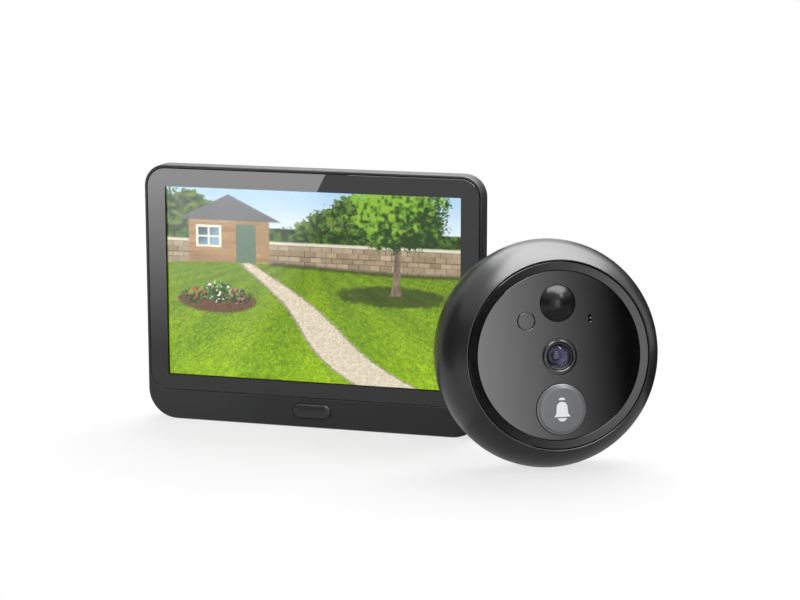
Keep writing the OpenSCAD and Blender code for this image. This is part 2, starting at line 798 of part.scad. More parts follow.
module lens_ring() {
    color("#242528") camera() difference() {
        union() {
            rod(lens_ring_r - seat_gap, [0, lens_y], lens_ring_rise, -face_t);
            rod(lens_ring_r + retain_w, [0, lens_y], -face_t, -face_t - retain_t);
        }
        rod(lens_ring_r - lens_ring_w, [0, lens_y], lens_ring_rise + cut, -face_t - retain_t - cut);
    }
}

// Domed disc of glass whose rim's front lies at the given height
module lens_glass(r, front, edge, rise) {
    ball = (pow(r, 2) + pow(rise, 2)) / (2 * rise);
    translate([0, lens_y, front]) {
        rod(r, [0, 0], 0, -edge);
        intersection() {
            translate([0, 0, rise - ball]) sphere(ball);
            rod(r, [0, 0], rise + cut, 0);
        }
    }
}

lens_r = barrel_bore - seat_gap;
stop_z = -barrel_back - lens_rise - lens_edge;

module front_lens() {
    color("#2a2140") camera() lens_glass(lens_r, -barrel_back - lens_rise, lens_edge, lens_rise);
}

module lens_barrel() {
    color("#0f0f10") camera() difference() {
        rod(barrel_r, [0, lens_y], -barrel_back, barrel_back_z);
        rod(barrel_bore, [0, lens_y], -barrel_back + cut, stop_z);
        rod(path_r, [0, lens_y], stop_z + cut, barrel_back_z - cut);
        rod(barrel_bore, [0, lens_y], stop_z - stop_t, barrel_back_z - cut);
    }
}

module rear_lens() {
    color("#3a3358") camera() rod(lens_r, [0, lens_y], stop_z - stop_t, stop_z - stop_t - rear_lens_t);
}

module lens_holder() {
    color("#1b1b1c") camera() difference() {
        block([holder_w, holder_w, -holder_front - sensor_board_z], [0, lens_y], -holder_front);
        rod(barrel_r + seat_gap, [0, lens_y], -holder_front + cut, barrel_back_z - seat_gap);
        rod(path_r, [0, lens_y], -holder_front, sensor_board_z - cut);
        block([holder_w + 2 * cut, blade_size[1] + 2 * blade_gap, blade_size[0] + 2 * blade_gap],
            [0, lens_y], blade_z + blade_gap);
        block([sensor_size[0] + 2 * blade_gap, sensor_size[1] + 2 * blade_gap, chamber_d + cut],
            [0, lens_y], sensor_board_z + chamber_d);
    }
}

module filter_blade() {
    color("#8a2f3d") camera() difference() {
        block([blade_size[2], blade_size[1], blade_size[0]], [-blade_travel / 2, lens_y], blade_z);
        for (s = [0, 1])
            rod(path_r, [-s * blade_travel, lens_y], blade_z + cut, blade_z - blade_size[0] - cut);
    }
}

module filter_motor() {
    color("#77797c") camera() block(motor_size, [0, lens_y + (holder_w + motor_size[1]) / 2],
        sensor_board_z + motor_size[2]);
}

module image_sensor() {
    color("#44506a") camera() block(sensor_size, [0, lens_y], sensor_board_z + sensor_size[2]);
}

module sensor_board() {
    color("#1f5a3a") camera() block([sensor_board_w, sensor_board_w, board_t], [0, lens_y], sensor_board_z);
}

module sensor_spacers() {
    color("#c7b06a") camera() for (x = [-1, 1], y = [-1, 1])
        rod(spacer_r, [x * spacer_at, lens_y + y * spacer_at], cam_board_back, sensor_board_z);
}

// Bell outline: cap, domed body with a flared skirt, clapper, drawn on twenty units of height
module bell_shape() {
    unit = bell_mark_h / 20;
    top = 10 * unit;
    cap = [5.6, 2.2] * unit;
    crown_r = 4.5 * unit;
    crown_y = 2 * unit;
    waist = [5, -3.5] * unit;
    skirt = [6.8, -6.2] * unit;
    clapper_r = 4 * unit;
    clapper_low = -top + clapper_r;
    clapper_top = skirt[1] - unit;
    crown = [for (a = [0:10:180]) [crown_r * cos(a), crown_y + crown_r * sin(a)]];
    translate([-cap[0] / 2, top - cap[1]]) square(cap);
    polygon(concat(crown, [[-waist[0], waist[1]], [-skirt[0], skirt[1]], skirt, waist]));
    difference() {
        translate([0, clapper_low]) circle(clapper_r);
        translate([-skirt[0], clapper_top]) square([2 * skirt[0], top]);
    }
}

module bell_button() {
    color("#6d6f73") camera() translate([0, -bell_drop, 0]) difference() {
        union() {
            rod(bell_r, [0, 0], bell_out - bell_bevel, bell_flange_z);
            translate([0, 0, bell_out - bell_bevel])
                cylinder(r1 = bell_r, r2 = bell_r - bell_bevel, h = bell_bevel);
            slab(bell_flange_z, retain_t) intersection() {
                circle(bell_r + retain_w);
                translate([0, bell_drop]) circle(face_r - ledge_w - 2 * key_gap);
            }
            rod(stem_r, [0, 0], bell_flange_z, bell_stem_z);
        }
        slab(bell_out + cut, cut + bell_mark_t) bell_shape();
    }
}

module bell_symbol() {
    color("#f2f2f0") camera() translate([0, -bell_drop, 0]) slab(bell_out, bell_mark_t) bell_shape();
}

module bell_plunger() {
    color("#111111") camera() rod(plunger_r, [0, -bell_drop], bell_stem_z, bell_switch_z - plunger_seat);
}

module bell_switch() {
    color("#c8c8c4") camera() difference() {
        block([bell_switch_w, bell_switch_w, bell_switch_t], [0, -bell_drop], bell_switch_z);
        rod(plunger_r + key_gap, [0, -bell_drop], bell_switch_z + cut,
            bell_switch_z - plunger_seat - bell_travel - key_gap);
    }
}

module mic_boot() {
    color("#181818") camera() difference() {
        rod(boot_r, [side_x, side_y], -face_t, cam_board_z + mic_size[2]);
        rod(mic_hole_r + mic_pitch / 2, [side_x, side_y], -face_t + cut, cam_board_z + mic_size[2] - cut);
    }
}

module microphone() {
    color("#bfc2c6") camera() block(mic_size, [side_x, side_y], cam_board_z + mic_size[2]);
}

module camera_board() {
    window = holder_w + 2 * blade_gap;
    color("#1f5a3a") camera() difference() {
        rod(cam_bore - 2 * seat_gap, [0, 0], cam_board_z, cam_board_back);
        block([window, window, board_t + 2 * cut], [0, lens_y], cam_board_z + cut);
        for (at = post_at) rod(screw_r + seat_gap, at, cam_board_z + cut, cam_board_back - cut);
    }
}

module camera_chip() {
    color("#26282b") camera() block(chip_size, [-post_ring + chip_size[0], 0], cam_board_back);
}

module camera_board_screws() {
    color("#9a9ca0") camera() for (at = post_at) screw_backward(at, cam_board_z, board_t + screw_bite);
}

module plug_seat() {
    color("#e6e2d6") camera() block(plug_size, [0, 0], sensor_board_z - board_t);
}

module chime_speaker() {
    color("#303236") camera() rod(chime_r, [0, -chime_drop], back_in + chime_t, back_in);
}

module back_plate() {
    head_z = housing_back + screw_head_t;
    color("#2a2c2e") camera() difference() {
        rod(cam_bore - seat_gap, [0, 0], back_in, housing_back);
        rod(stud_r + seat_gap, [0, 0], back_in + cut, housing_back - cut);
        for (at = post_at) {
            rod(screw_r + seat_gap, at, back_in + cut, housing_back);
            rod(screw_head_r + seat_gap, at, head_z, housing_back - cut);
        }
    }
}

module back_screws() {
    color("#9a9ca0") camera() for (at = post_at)
        screw_forward(at, housing_back + screw_head_t, back_t - screw_head_t + screw_bite);
}

module stud_nut() {
    color("#a8a291") camera() slab(back_in + nut_t, nut_t) difference() {
        circle(r = nut_af / 2 / cos(30), $fn = 6);
        circle(stud_r + seat_gap);
    }
}

module door_stud() {
    color("#8e9092") camera() difference() {
        union() {
            rod(stud_r, [0, 0], back_in + nut_t, gasket_z - stud_len);
            rod(stud_flange_r, [0, 0], housing_back, gasket_z);
        }
        rod(stud_bore, [0, 0], back_in + nut_t + cut, gasket_z - stud_len - cut);
    }
}

module door_gasket() {
    color("#1a1a1a") camera() slab(housing_back, gasket_door_t) difference() {
        circle(gasket_door_r[1]);
        circle(gasket_door_r[0]);
    }
}

front_frame();
cover_glass();
glass_tape();
lcd_panel();
backlight_tray();
wake_key();
key_plunger();
key_switch();
main_board();
shield_can();
board_screws();
battery_pack();
speaker();
usb_socket();
reset_key();
reset_switch();
link_socket();
antenna();
rear_cover();
case_screws();
rear_pads();
camera_housing();
bezel_ring();
face_plate();
face_gasket();
pir_lens();
pir_sensor();
light_window();
ir_lamp();
lens_ring();
front_lens();
lens_barrel();
rear_lens();
lens_holder();
filter_blade();
filter_motor();
image_sensor();
sensor_board();
sensor_spacers();
bell_button();
bell_symbol();
bell_plunger();
bell_switch();
mic_boot();
microphone();
camera_board();
camera_chip();
camera_board_screws();
plug_seat();
chime_speaker();
back_plate();
back_screws();
stud_nut();
door_stud();
door_gasket();
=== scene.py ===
import json
import math

import bmesh
import bpy
import numpy as np
from mathutils import Matrix, Vector
from mathutils.geometry import tessellate_polygon


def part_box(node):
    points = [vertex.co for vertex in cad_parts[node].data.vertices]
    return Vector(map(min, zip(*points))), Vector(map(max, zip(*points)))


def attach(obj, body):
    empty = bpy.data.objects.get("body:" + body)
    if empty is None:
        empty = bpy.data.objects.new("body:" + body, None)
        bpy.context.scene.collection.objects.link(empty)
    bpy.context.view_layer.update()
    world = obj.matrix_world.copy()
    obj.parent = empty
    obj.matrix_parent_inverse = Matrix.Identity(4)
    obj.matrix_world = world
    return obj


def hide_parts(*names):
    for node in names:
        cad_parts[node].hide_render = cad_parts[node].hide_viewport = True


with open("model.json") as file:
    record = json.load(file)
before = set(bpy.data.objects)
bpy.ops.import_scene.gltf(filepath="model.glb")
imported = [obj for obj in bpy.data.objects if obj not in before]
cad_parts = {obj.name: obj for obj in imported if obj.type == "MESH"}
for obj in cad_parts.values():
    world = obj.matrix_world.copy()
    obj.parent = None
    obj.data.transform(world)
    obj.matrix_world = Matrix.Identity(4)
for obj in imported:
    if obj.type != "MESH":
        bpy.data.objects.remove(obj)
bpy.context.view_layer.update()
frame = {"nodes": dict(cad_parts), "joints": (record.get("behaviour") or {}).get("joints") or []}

# View of the set: from the monitor's right and a little above, through a long lens
# two thirds of a metre away, in a frame of four by three.
view_azimuth = math.radians(16.06)
view_elevation = math.radians(10.8)
viewer_data = bpy.data.cameras.new("viewer")
viewer_data.sensor_width = 36
viewer_data.lens = 100.3
viewer_data.clip_start = 0.01
viewer = bpy.data.objects.new("viewer", viewer_data)
bpy.context.scene.collection.objects.link(viewer)
viewer.location = (0.2087, -0.6376, 0.1658)
towards_viewer = Vector((
    math.sin(view_azimuth) * math.cos(view_elevation),
    -math.cos(view_azimuth) * math.cos(view_elevation),
    math.sin(view_elevation),
))
viewer.rotation_euler = (-towards_viewer).to_track_quat("-Z", "Y").to_euler()
bpy.context.scene.camera = viewer
bpy.context.scene.view_settings.view_transform = "Standard"

# Front frame of the monitor: one moulding of dark grey ABS with a fine spark-eroded grain.
# It carries the cover glass in a recess, the wake key in a pill shaped hole, and it is screwed
# to the rear cover from behind. Sizes are in millimetres, on axes of the monitor's own front.
mm = 0.001
case_low, case_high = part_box("front_frame")
case_half = (case_high.x - case_low.x) / 2 / mm
case_top = case_high.z / mm
band_depth = (case_high.y - case_low.y) / mm
case_corner_low = 9.2
case_corner_top = 6.7
case_wall = 1.6
edge_round = 0.6
glass_rim = 0.9
strip_height = 9.2
recess_depth = 1.3
shelf_back = -2.5
small_edge = 0.12
panel_low, panel_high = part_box("lcd_panel")
panel_half = (panel_high.x - panel_low.x) / 2 / mm
key_half = 6
key_radius = 2.15
key_height = 5.15
key_gap = 0.15
plastic_grey = (0.0185, 0.0188, 0.0197)
monitor_place = Matrix((
    (mm, 0, 0, 0),
    (0, 0, -mm, case_low.y),
    (0, mm, 0, case_low.z),
    (0, 0, 0, 1),
))


def round_box(half, low, high, corner_low, corner_top, steps=10):
    corners = (
        (half - corner_low, low + corner_low, corner_low, 270),
        (half - corner_top, high - corner_top, corner_top, 0),
        (corner_top - half, high - corner_top, corner_top, 90),
        (corner_low - half, low + corner_low, corner_low, 180),
    )
    points = []
    for x, y, radius, start in corners:
        for step in range(steps + 1):
            angle = math.radians(start + 90 * step / steps)
            points.append((x + radius * math.cos(angle), y + radius * math.sin(angle)))
    return points


def pill(half, middle, radius, steps=20):
    points = []
    for x, start in ((half - radius, -90), (radius - half, 90)):
        for step in range(steps + 1):
            angle = math.radians(start + 180 * step / steps)
            points.append((x + radius * math.cos(angle), middle + radius * math.sin(angle)))
    return points


def quarter_round(radius, steps=5):
    angles = [math.radians(90 * step / steps) for step in range(steps + 1)]
    return [(radius * (1 - math.cos(a)), radius * (math.sin(a) - 1)) for a in angles]


def ring(work, outline, height):
    return [work.verts.new((x, y, height)) for x, y in outline]


def wall_between(work, rings, leave_open=()):
    for level, (first, second) in enumerate(zip(rings, rings[1:])):
        for i in range(len(first) - (level in leave_open)):
            j = (i + 1) % len(first)
            work.faces.new((first[i], first[j], second[j], second[i]))


def flat_face(work, edge, holes=()):
    loops = [edge, *holes]
    corners = [corner for loop in loops for corner in loop]
    for triangle in tessellate_polygon([[corner.co for corner in loop] for loop in loops]):
        work.faces.new([corners[i] for i in triangle])


def show(name, mesh):
    piece = bpy.data.objects.new(name, mesh)
    bpy.context.scene.collection.objects.link(piece)
    return piece


def settle_modifiers(piece):
    evaluated = piece.evaluated_get(bpy.context.evaluated_depsgraph_get())
    piece.data = bpy.data.meshes.new_from_object(evaluated)
    piece.modifiers.clear()


def grow(piece, tree, **values):
    modifier = piece.modifiers.new(tree.name, "NODES")
    modifier.node_group = tree
    for item in tree.interface.items_tree:
        if item.in_out == "INPUT" and item.name in values:
            modifier[item.identifier] = values[item.name]
    settle_modifiers(piece)


def make_piece(name, work, place, material, tree=None, **values):
    bmesh.ops.remove_doubles(work, verts=work.verts, dist=0.0005)
    bmesh.ops.recalc_face_normals(work, faces=work.faces)
    mesh = bpy.data.meshes.new(name)
    work.to_mesh(mesh)
    work.free()
    mesh.materials.append(material)
    piece = show(name, mesh)
    if tree:
        grow(piece, tree, **values)
    piece.data.shade_smooth()
    piece.data.set_sharp_from_angle(angle=math.radians(32))
    even = piece.modifiers.new("even_shading", "WEIGHTED_NORMAL")
    even.keep_sharp = True
    settle_modifiers(piece)
    piece.data.transform(place)
    return piece


def settle(piece, body, slot, *nodes):
    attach(piece, body)
    if nodes:
        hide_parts(*nodes)


def new_group(name, kind, inputs, outputs):
    tree = bpy.data.node_groups.new(name, kind)
    for side, sockets in (("INPUT", inputs), ("OUTPUT", outputs)):
        for socket, socket_kind in sockets.items():
            tree.interface.new_socket(socket, in_out=side, socket_type=socket_kind)
    return tree, tree.nodes.new("NodeGroupInput"), tree.nodes.new("NodeGroupOutput")


def add(tree, kind, **settings):
    node = tree.nodes.new(kind)
    for name, value in settings.items():
        setattr(node, name, value)
    return node


def feed(tree, node, **sources):
    for name, source in sources.items():
        socket = node.inputs[name.replace("_", " ")]
        if isinstance(source, bpy.types.NodeSocket):
            tree.links.new(source, socket)
        else:
            socket.default_value = source


def math_of(tree, operation, first, second):
    node = add(tree, "ShaderNodeMath", operation=operation)
    for socket, source in zip(node.inputs, (first, second)):
        if isinstance(source, bpy.types.NodeSocket):
            tree.links.new(source, socket)
        else:
            socket.default_value = source
    return node.outputs[0]


def moulded_grain_group():
    number = "NodeSocketFloat"
    tree, given, made = new_group(
        "moulded_grain", "ShaderNodeTree",
        {"Colour": "NodeSocketColor", "Roughness": number, "Grain": number, "Mottle": number},
        {"Colour": "NodeSocketColor", "Roughness": number, "Height": number},
    )
    place = add(tree, "ShaderNodeTexCoord").outputs["Object"]
    fine = add(tree, "ShaderNodeTexNoise")
    feed(tree, fine, Vector=place, Scale=given.outputs["Grain"], Detail=3, Roughness=0.6)
    broad = add(tree, "ShaderNodeTexNoise")
    feed(tree, broad, Vector=place, Scale=90, Detail=4, Roughness=0.55)
    swing = math_of(tree, "SUBTRACT", broad.outputs["Fac"], 0.5)
    swing = math_of(tree, "MULTIPLY", swing, given.outputs["Mottle"])
    tint = add(tree, "ShaderNodeHueSaturation")
    feed(tree, tint, Color=given.outputs["Colour"], Value=math_of(tree, "ADD", swing, 1))
    speck = math_of(tree, "SUBTRACT", fine.outputs["Fac"], 0.5)
    speck = math_of(tree, "MULTIPLY", speck, 0.12)
    rough = math_of(tree, "ADD", given.outputs["Roughness"], speck)
    rough = math_of(tree, "ADD", rough, math_of(tree, "MULTIPLY", swing, 0.25))
    feed(tree, made, Colour=tint.outputs["Color"], Roughness=rough, Height=fine.outputs["Fac"])
    return tree


moulded_grain = moulded_grain_group()


def finish_of(name, colour, roughness, grain=4200, mottle=0.2, depth=0.000004, **shader_values):
    material = bpy.data.materials.new(name)
    material.use_nodes = True
    tree = material.node_tree
    shader = tree.nodes["Principled BSDF"]
    for socket, value in shader_values.items():
        shader.inputs[socket.replace("_", " ")].default_value = value
    surface = add(tree, "ShaderNodeGroup", node_tree=moulded_grain)
    feed(tree, surface, Colour=(*colour, 1), Roughness=roughness, Grain=grain, Mottle=mottle)
    bump = add(tree, "ShaderNodeBump")
    feed(tree, bump, Height=surface.outputs["Height"], Distance=depth, Strength=1)
    tree.links.new(surface.outputs["Colour"], shader.inputs["Base Color"])
    tree.links.new(surface.outputs["Roughness"], shader.inputs["Roughness"])
    tree.links.new(bump.outputs["Normal"], shader.inputs["Normal"])
    return material


def case_outline(inset):
    return round_box(case_half - inset, inset, case_top - inset,
                     case_corner_low - inset, case_corner_top - inset)


def glass_outline(inset):
    rim = glass_rim + inset
    corner = case_corner_top - rim
    return round_box(case_half - rim, strip_height + inset, case_top - rim, corner, corner)


def panel_outline(grow_by):
    low = panel_low.z / mm - grow_by
    high = panel_high.z / mm + grow_by
    half = panel_half + grow_by
    return [(half, low), (half, high), (-half, high), (-half, low)]


case_plastic = finish_of("case_plastic", plastic_grey, 0.46, Specular_IOR_Level=0.4)
work = bmesh.new()
outside = [ring(work, case_outline(case_wall), shelf_back)]
outside.append(ring(work, case_outline(case_wall), -band_depth))
outside.append(ring(work, case_outline(small_edge), -band_depth))
outside.append(ring(work, case_outline(0), -band_depth + small_edge))
outside += [ring(work, case_outline(inset), z) for inset, z in quarter_round(edge_round)]
recess = [ring(work, glass_outline(inset), z) for inset, z in ((-small_edge, 0), (0, -small_edge))]
recess.append(ring(work, glass_outline(0), -recess_depth))
key_hole = []
for growth, z in ((key_gap, 0), (key_gap, shelf_back)):
    key_hole.append(ring(work, pill(key_half + growth, key_height, key_radius + growth), z))
window = [ring(work, panel_outline(0.1), z) for z in (-recess_depth, shelf_back)]
for rings in (outside, recess, key_hole, window):
    wall_between(work, rings)
flat_face(work, outside[-1], [recess[0], key_hole[0]])
flat_face(work, recess[-1], [window[0]])
flat_face(work, outside[0], [window[-1], key_hole[-1]])
front_frame = make_piece("front_frame_moulding", work, monitor_place, case_plastic)
settle(front_frame, "root", "case_plastic", "front_frame")

# Cover glass: a plate with ground edges, glued into the frame's recess. A black print on its back
# hides the border of the display, and the clear window over the picture has a coating against glare.
glass_thick = 1.1
glass_gap = 0.1
glass_ground = 0.15
view_width = 93
view_height = 58.4
view_low = 14.1
window_growth = 0.1
window_corner = 0.3


def smudge_group():
    number = "NodeSocketFloat"
    tree, given, made = new_group(
        "wiped_smudges", "ShaderNodeTree",
        {"Least": number, "Most": number, "Scale": number},
        {"Roughness": number},
    )
    place = add(tree, "ShaderNodeTexCoord").outputs["Object"]
    wipe = add(tree, "ShaderNodeMapping")
    feed(tree, wipe, Vector=place, Scale=(1, 1, 0.35), Rotation=(0, 0.5, 0.2))
    haze = add(tree, "ShaderNodeTexNoise")
    feed(tree, haze, Vector=wipe.outputs["Vector"], Scale=given.outputs["Scale"], Detail=5)
    spread = add(tree, "ShaderNodeMapRange")
    feed(tree, spread, Value=haze.outputs["Fac"], From_Min=0.4, From_Max=0.75)
    feed(tree, spread, To_Min=given.outputs["Least"], To_Max=given.outputs["Most"])
    feed(tree, made, Roughness=spread.outputs["Result"])
    return tree


wiped_smudges = smudge_group()


def smudged(material, least, most, scale):
    tree = material.node_tree
    shader = tree.nodes["Principled BSDF"]
    marks = add(tree, "ShaderNodeGroup", node_tree=wiped_smudges)
    feed(tree, marks, Least=least, Most=most, Scale=scale)
    tree.links.new(marks.outputs["Roughness"], shader.inputs["Roughness"])


def clear_glass(name, colour, ior):
    material = bpy.data.materials.new(name)
    material.use_nodes = True
    shader = material.node_tree.nodes["Principled BSDF"]
    shader.inputs["Base Color"].default_value = (*colour, 1)
    shader.inputs["Transmission Weight"].default_value = 1
    shader.inputs["IOR"].default_value = ior
    smudged(material, 0.0, 0.006, 60)
    return material


cover_glass_clear = clear_glass("cover_glass_clear", (1, 1, 1), 1.1)
glass_print = finish_of("glass_print", (0.027, 0.027, 0.0275), 0.05, grain=700, mottle=0.05, depth=0.0000001)
smudged(glass_print, 0.02, 0.06, 60)
work = bmesh.new()
sides = [ring(work, glass_outline(glass_gap), -glass_thick)]
for inset, z in ((0, -glass_ground), (glass_ground, 0)):
    sides.append(ring(work, glass_outline(glass_gap + inset), z))
wall_between(work, sides)
window_outline = round_box(view_width / 2 + window_growth, view_low - window_growth,
                           view_low + view_height + window_growth, window_corner, window_corner, 3)
windows = [ring(work, window_outline, z) for z in (-glass_thick, 0)]
flat_face(work, sides[0], [windows[0]])
flat_face(work, sides[-1], [windows[1]])
for face in work.faces:
    face.material_index = 1
flat_face(work, windows[0])
flat_face(work, windows[1])
cover_glass = make_piece("cover_glass_plate", work, monitor_place, cover_glass_clear)
cover_glass.data.materials.append(glass_print)
settle(cover_glass, "root", "cover_glass", "cover_glass")

# Display panel: a flat liquid crystal panel whose black border hides under the adhesive frame.
# It shows a garden: a lawn with a winding gravel path, a timber shed, a wall, a hedge and a tree.
picture_columns = 372
picture_rows = 234
picture_edge = 0.02
panel_front = -recess_depth
panel_thick = 1.6


def lattice_noise(x, y, seed):
    size = 97
    lattice = np.random.default_rng(seed).random((size, size))
    column = np.floor(x).astype(int)
    row = np.floor(y).astype(int)
    across = x - column
    up = y - row
    across = across * across * (3 - 2 * across)
    up = up * up * (3 - 2 * up)
    low = lattice[row % size, column % size] * (1 - across)
    low += lattice[row % size, (column + 1) % size] * across
    high = lattice[(row + 1) % size, column % size] * (1 - across)
    high += lattice[(row + 1) % size, (column + 1) % size] * across
    return low * (1 - up) + high * up


def cloud(x, y, seed, layers=4):
    total = 0
    weight = 0
    for layer in range(layers):
        share = 0.55 ** layer
        total = total + share * lattice_noise(x * 2 ** layer, y * 2 ** layer, seed + layer)
        weight += share
    return total / weight


def ramp(value, start, end):
    t = np.clip((value - start) / (end - start), 0, 1)
    return t * t * (3 - 2 * t)


def tone(dark, light, share):
    return np.array(dark) * (1 - share[..., None]) + np.array(light) * share[..., None]


def lay(picture, colour, mask):
    return picture * (1 - mask[..., None]) + colour * mask[..., None]


def garden(x, y):
    lawn_top = 35 + 0.8 * np.sin(x / 17)
    leaf = cloud(x / 1.1, y / 1.1, 3)
    fine = lattice_noise(x * 3.1, y * 3.1, 9)
    sky = tone((222, 232, 238), (176, 204, 226), ramp(y, 44, 60))
    picture = sky
    trees_top = 50 + 6 * np.sin(x / 9 + 1) + 3 * cloud(x / 4, x * 0, 21)
    trees = tone((38, 58, 26), (112, 138, 66), ramp(leaf + 0.3 * (fine - 0.5), 0.3, 0.75))
    picture = lay(picture, trees, ramp(trees_top - y + 6 * (leaf - 0.5), -0.4, 0.4))
    hedge_top = 46.5 + 0.5 * cloud(x / 2, x * 0, 5)
    hedge = tone((30, 48, 18), (88, 122, 44), ramp(leaf + 0.4 * (fine - 0.5), 0.3, 0.8))
    picture = lay(picture, hedge, ramp(hedge_top - y, -0.2, 0.2))
    course = np.floor(y / 1.6)
    block = np.floor(x / 3.4 + 0.5 * (course % 2))
    joint = np.minimum(y / 1.6 - course, (x / 3.4 + 0.5 * (course % 2) - block) * 2)
    shade = lattice_noise(block * 3.7, course * 2.3, 31)
    stone = tone((126, 112, 92), (196, 182, 156), 0.7 * shade + 0.3 * leaf)
    stone = stone * (0.62 + 0.38 * ramp(joint, 0.02, 0.16))[..., None]
    picture = lay(picture, stone, ramp(42.2 - y, -0.15, 0.15))
    picture = lay(picture, tone((208, 200, 184), (224, 218, 204), fine), ramp(0.5 - abs(y - 42.2), -0.1, 0.1))
    # Timber shed at the left: boards, door, window and a pitched roof
    board = y / 1.25 - np.floor(y / 1.25)
    streak = lattice_noise(np.floor(y / 1.25) * 5, x / 9, 13)
    boards = tone((138, 112, 82), (190, 162, 124), 0.45 * fine + 0.55 * streak)
    boards = boards * (0.66 + 0.34 * ramp(board, 0.0, 0.2))[..., None]
    wall_mask = ramp(x - 7, -0.15, 0.15) * ramp(33 - x, -0.15, 0.15) * ramp(49.5 - y, -0.15, 0.15)
    picture = lay(picture, boards, wall_mask)
    roof_line = 49 + 7.6 * (1 - abs(x - 20) / 16)
    roof = tone((86, 88, 92), (128, 128, 128), 0.5 * fine + 0.5 * leaf)
    picture = lay(picture, roof, ramp(roof_line - y, -0.2, 0.2) * ramp(y - 48.6, -0.2, 0.2))
    frame_mask = ramp(4.1 - abs(x - 13.5), -0.1, 0.1) * ramp(3.4 - abs(y - 43.6), -0.1, 0.1)
    picture = lay(picture, np.array((236, 230, 214)), frame_mask)
    pane = ramp(3.4 - abs(x - 13.5), -0.1, 0.1) * ramp(2.7 - abs(y - 43.6), -0.1, 0.1)
    pane = pane * ramp(abs(x - 13.5), 0.2, 0.35) * ramp(abs(y - 43.6), 0.2, 0.35)
    picture = lay(picture, tone((70, 88, 98), (150, 176, 190), ramp(x - y, -36, -26)), pane)
    door = ramp(3.2 - abs(x - 25.5), -0.1, 0.1) * ramp(47.6 - y, -0.1, 0.1)
    picture = lay(picture, tone((86, 108, 92), (112, 134, 116), fine), door)
    # Lawn in perspective, with mown stripes and the tree's shade
    near = np.clip((lawn_top - y) / 35, 0, 1)
    reach = near + 0.14
    ground_x = (x - 46) / reach
    ground_y = 10 / reach
    blades = cloud(ground_x * 0.8, ground_y * 2.2, 41)
    tuft = lattice_noise(x * 2.6, y * 4.2, 47)
    stripe = 0.5 + 0.5 * np.sin(ground_x / 5.5 + 0.6)
    blade = lattice_noise(x * 3.3, y * 5.1, 49)
    growth = 0.42 * blades + 0.34 * tuft + 0.3 * blade + 0.12 * stripe - 0.08
    grass = tone((58, 92, 2), (186, 212, 44), np.clip(growth, 0, 1))
    grass = grass * (0.86 + 0.2 * near)[..., None]
    picture = lay(picture, grass, ramp(lawn_top - y, -0.25, 0.25))
    # Shade and soil under the wall
    picture = picture * (1 - 0.4 * ramp(1.2 - abs(y - lawn_top), 0, 1.2) * ramp(x - 33, -1, 1))[..., None]
    # Gravel path from the shed door to the front right
    path_x = 25.5 + 50 * near ** 1.35 + 5 * np.sin(near * 5.2)
    half = 1.5 + 8.5 * near
    inside = half - abs(x - path_x) + 0.8 * (tuft - 0.5)
    on_lawn = ramp(lawn_top - y, -0.1, 0.3)
    edging = tone((140, 134, 122), (178, 170, 156), tuft)
    picture = lay(picture, edging, ramp(inside, -0.9, -0.5) * on_lawn)
    gravel = tone((186, 174, 152), (238, 230, 214), 0.5 * fine + 0.5 * lattice_noise(x * 2.2, y * 3.3, 53))
    picture = lay(picture, gravel, ramp(inside, -0.1, 0.3) * on_lawn)
    # Flower bed at the left with low shrubs
    bed = 1 - ((x - 16) / 13) ** 2 - ((y - 24) / 4.2) ** 2
    picture = lay(picture, tone((74, 54, 40), (128, 98, 72), fine), ramp(bed + 0.3 * (tuft - 0.5), 0, 0.12))
    for shrub_x, shrub_y, size, seed in ((9, 25.5, 4.2, 61), (16.5, 26.5, 5, 62), (23, 25.2, 3.8, 63)):
        shrub = 1 - ((x - shrub_x) / size) ** 2 - ((y - shrub_y) / (size * 0.72)) ** 2
        light = ramp(cloud(x * 1.3, y * 1.3, seed) + 0.05 * (y - shrub_y), 0.3, 0.75)
        leaves = tone((34, 56, 20), (122, 156, 64), light)
        picture = lay(picture, leaves, ramp(shrub + 0.5 * (leaf - 0.5), 0, 0.15))
        bloom = ramp(lattice_noise(x * 1.9, y * 1.9, seed + 10), 0.72, 0.8) * ramp(shrub, 0, 0.2)
        picture = lay(picture, np.array(((198, 62, 74), (236, 226, 218), (206, 96, 142))[seed - 61]), bloom)
    # Tree at the right with its shade on the lawn
    shadow = 1 - ((x - 72) / 20) ** 2 - ((y - 27.5) / 3.6) ** 2
    picture = picture * (1 - 0.42 * ramp(shadow + 0.6 * (leaf - 0.5), 0, 0.5))[..., None]
    trunk_half = 1.25 + 0.9 * ramp(31 - y, 0, 4) - 0.03 * (y - 30)
    bark = tone((78, 66, 56), (166, 150, 132), cloud(x * 1.6, y * 0.5, 71))
    trunk = ramp(trunk_half - abs(x - 73 - 0.05 * (y - 30)), -0.15, 0.15)
    picture = lay(picture, bark, trunk * ramp(y - 27.8, -0.2, 0.2))
    crown = 1 - ((x - 74) / 15.5) ** 2 - ((y - 52.5) / 11.5) ** 2 + 0.9 * (cloud(x / 3, y / 3, 81) - 0.5)
    light = ramp(cloud(x * 0.9, y * 0.9, 83) + 0.02 * (y - 52) - 0.012 * (x - 74), 0.28, 0.72)
    leaves = tone((36, 62, 18), (136, 172, 70), light)
    picture = lay(picture, leaves, ramp(crown + 0.5 * (fine - 0.5), 0, 0.2))
    picture = picture.mean(axis=-1, keepdims=True) * -0.18 + picture * 1.18
    picture = 118 + 1.1 * (picture - 118)
    return np.clip(picture / 255, 0, 1)


def screen_light(colours):
    return np.where(colours <= 0.04045, colours / 12.92, ((colours + 0.055) / 1.055) ** 2.4)


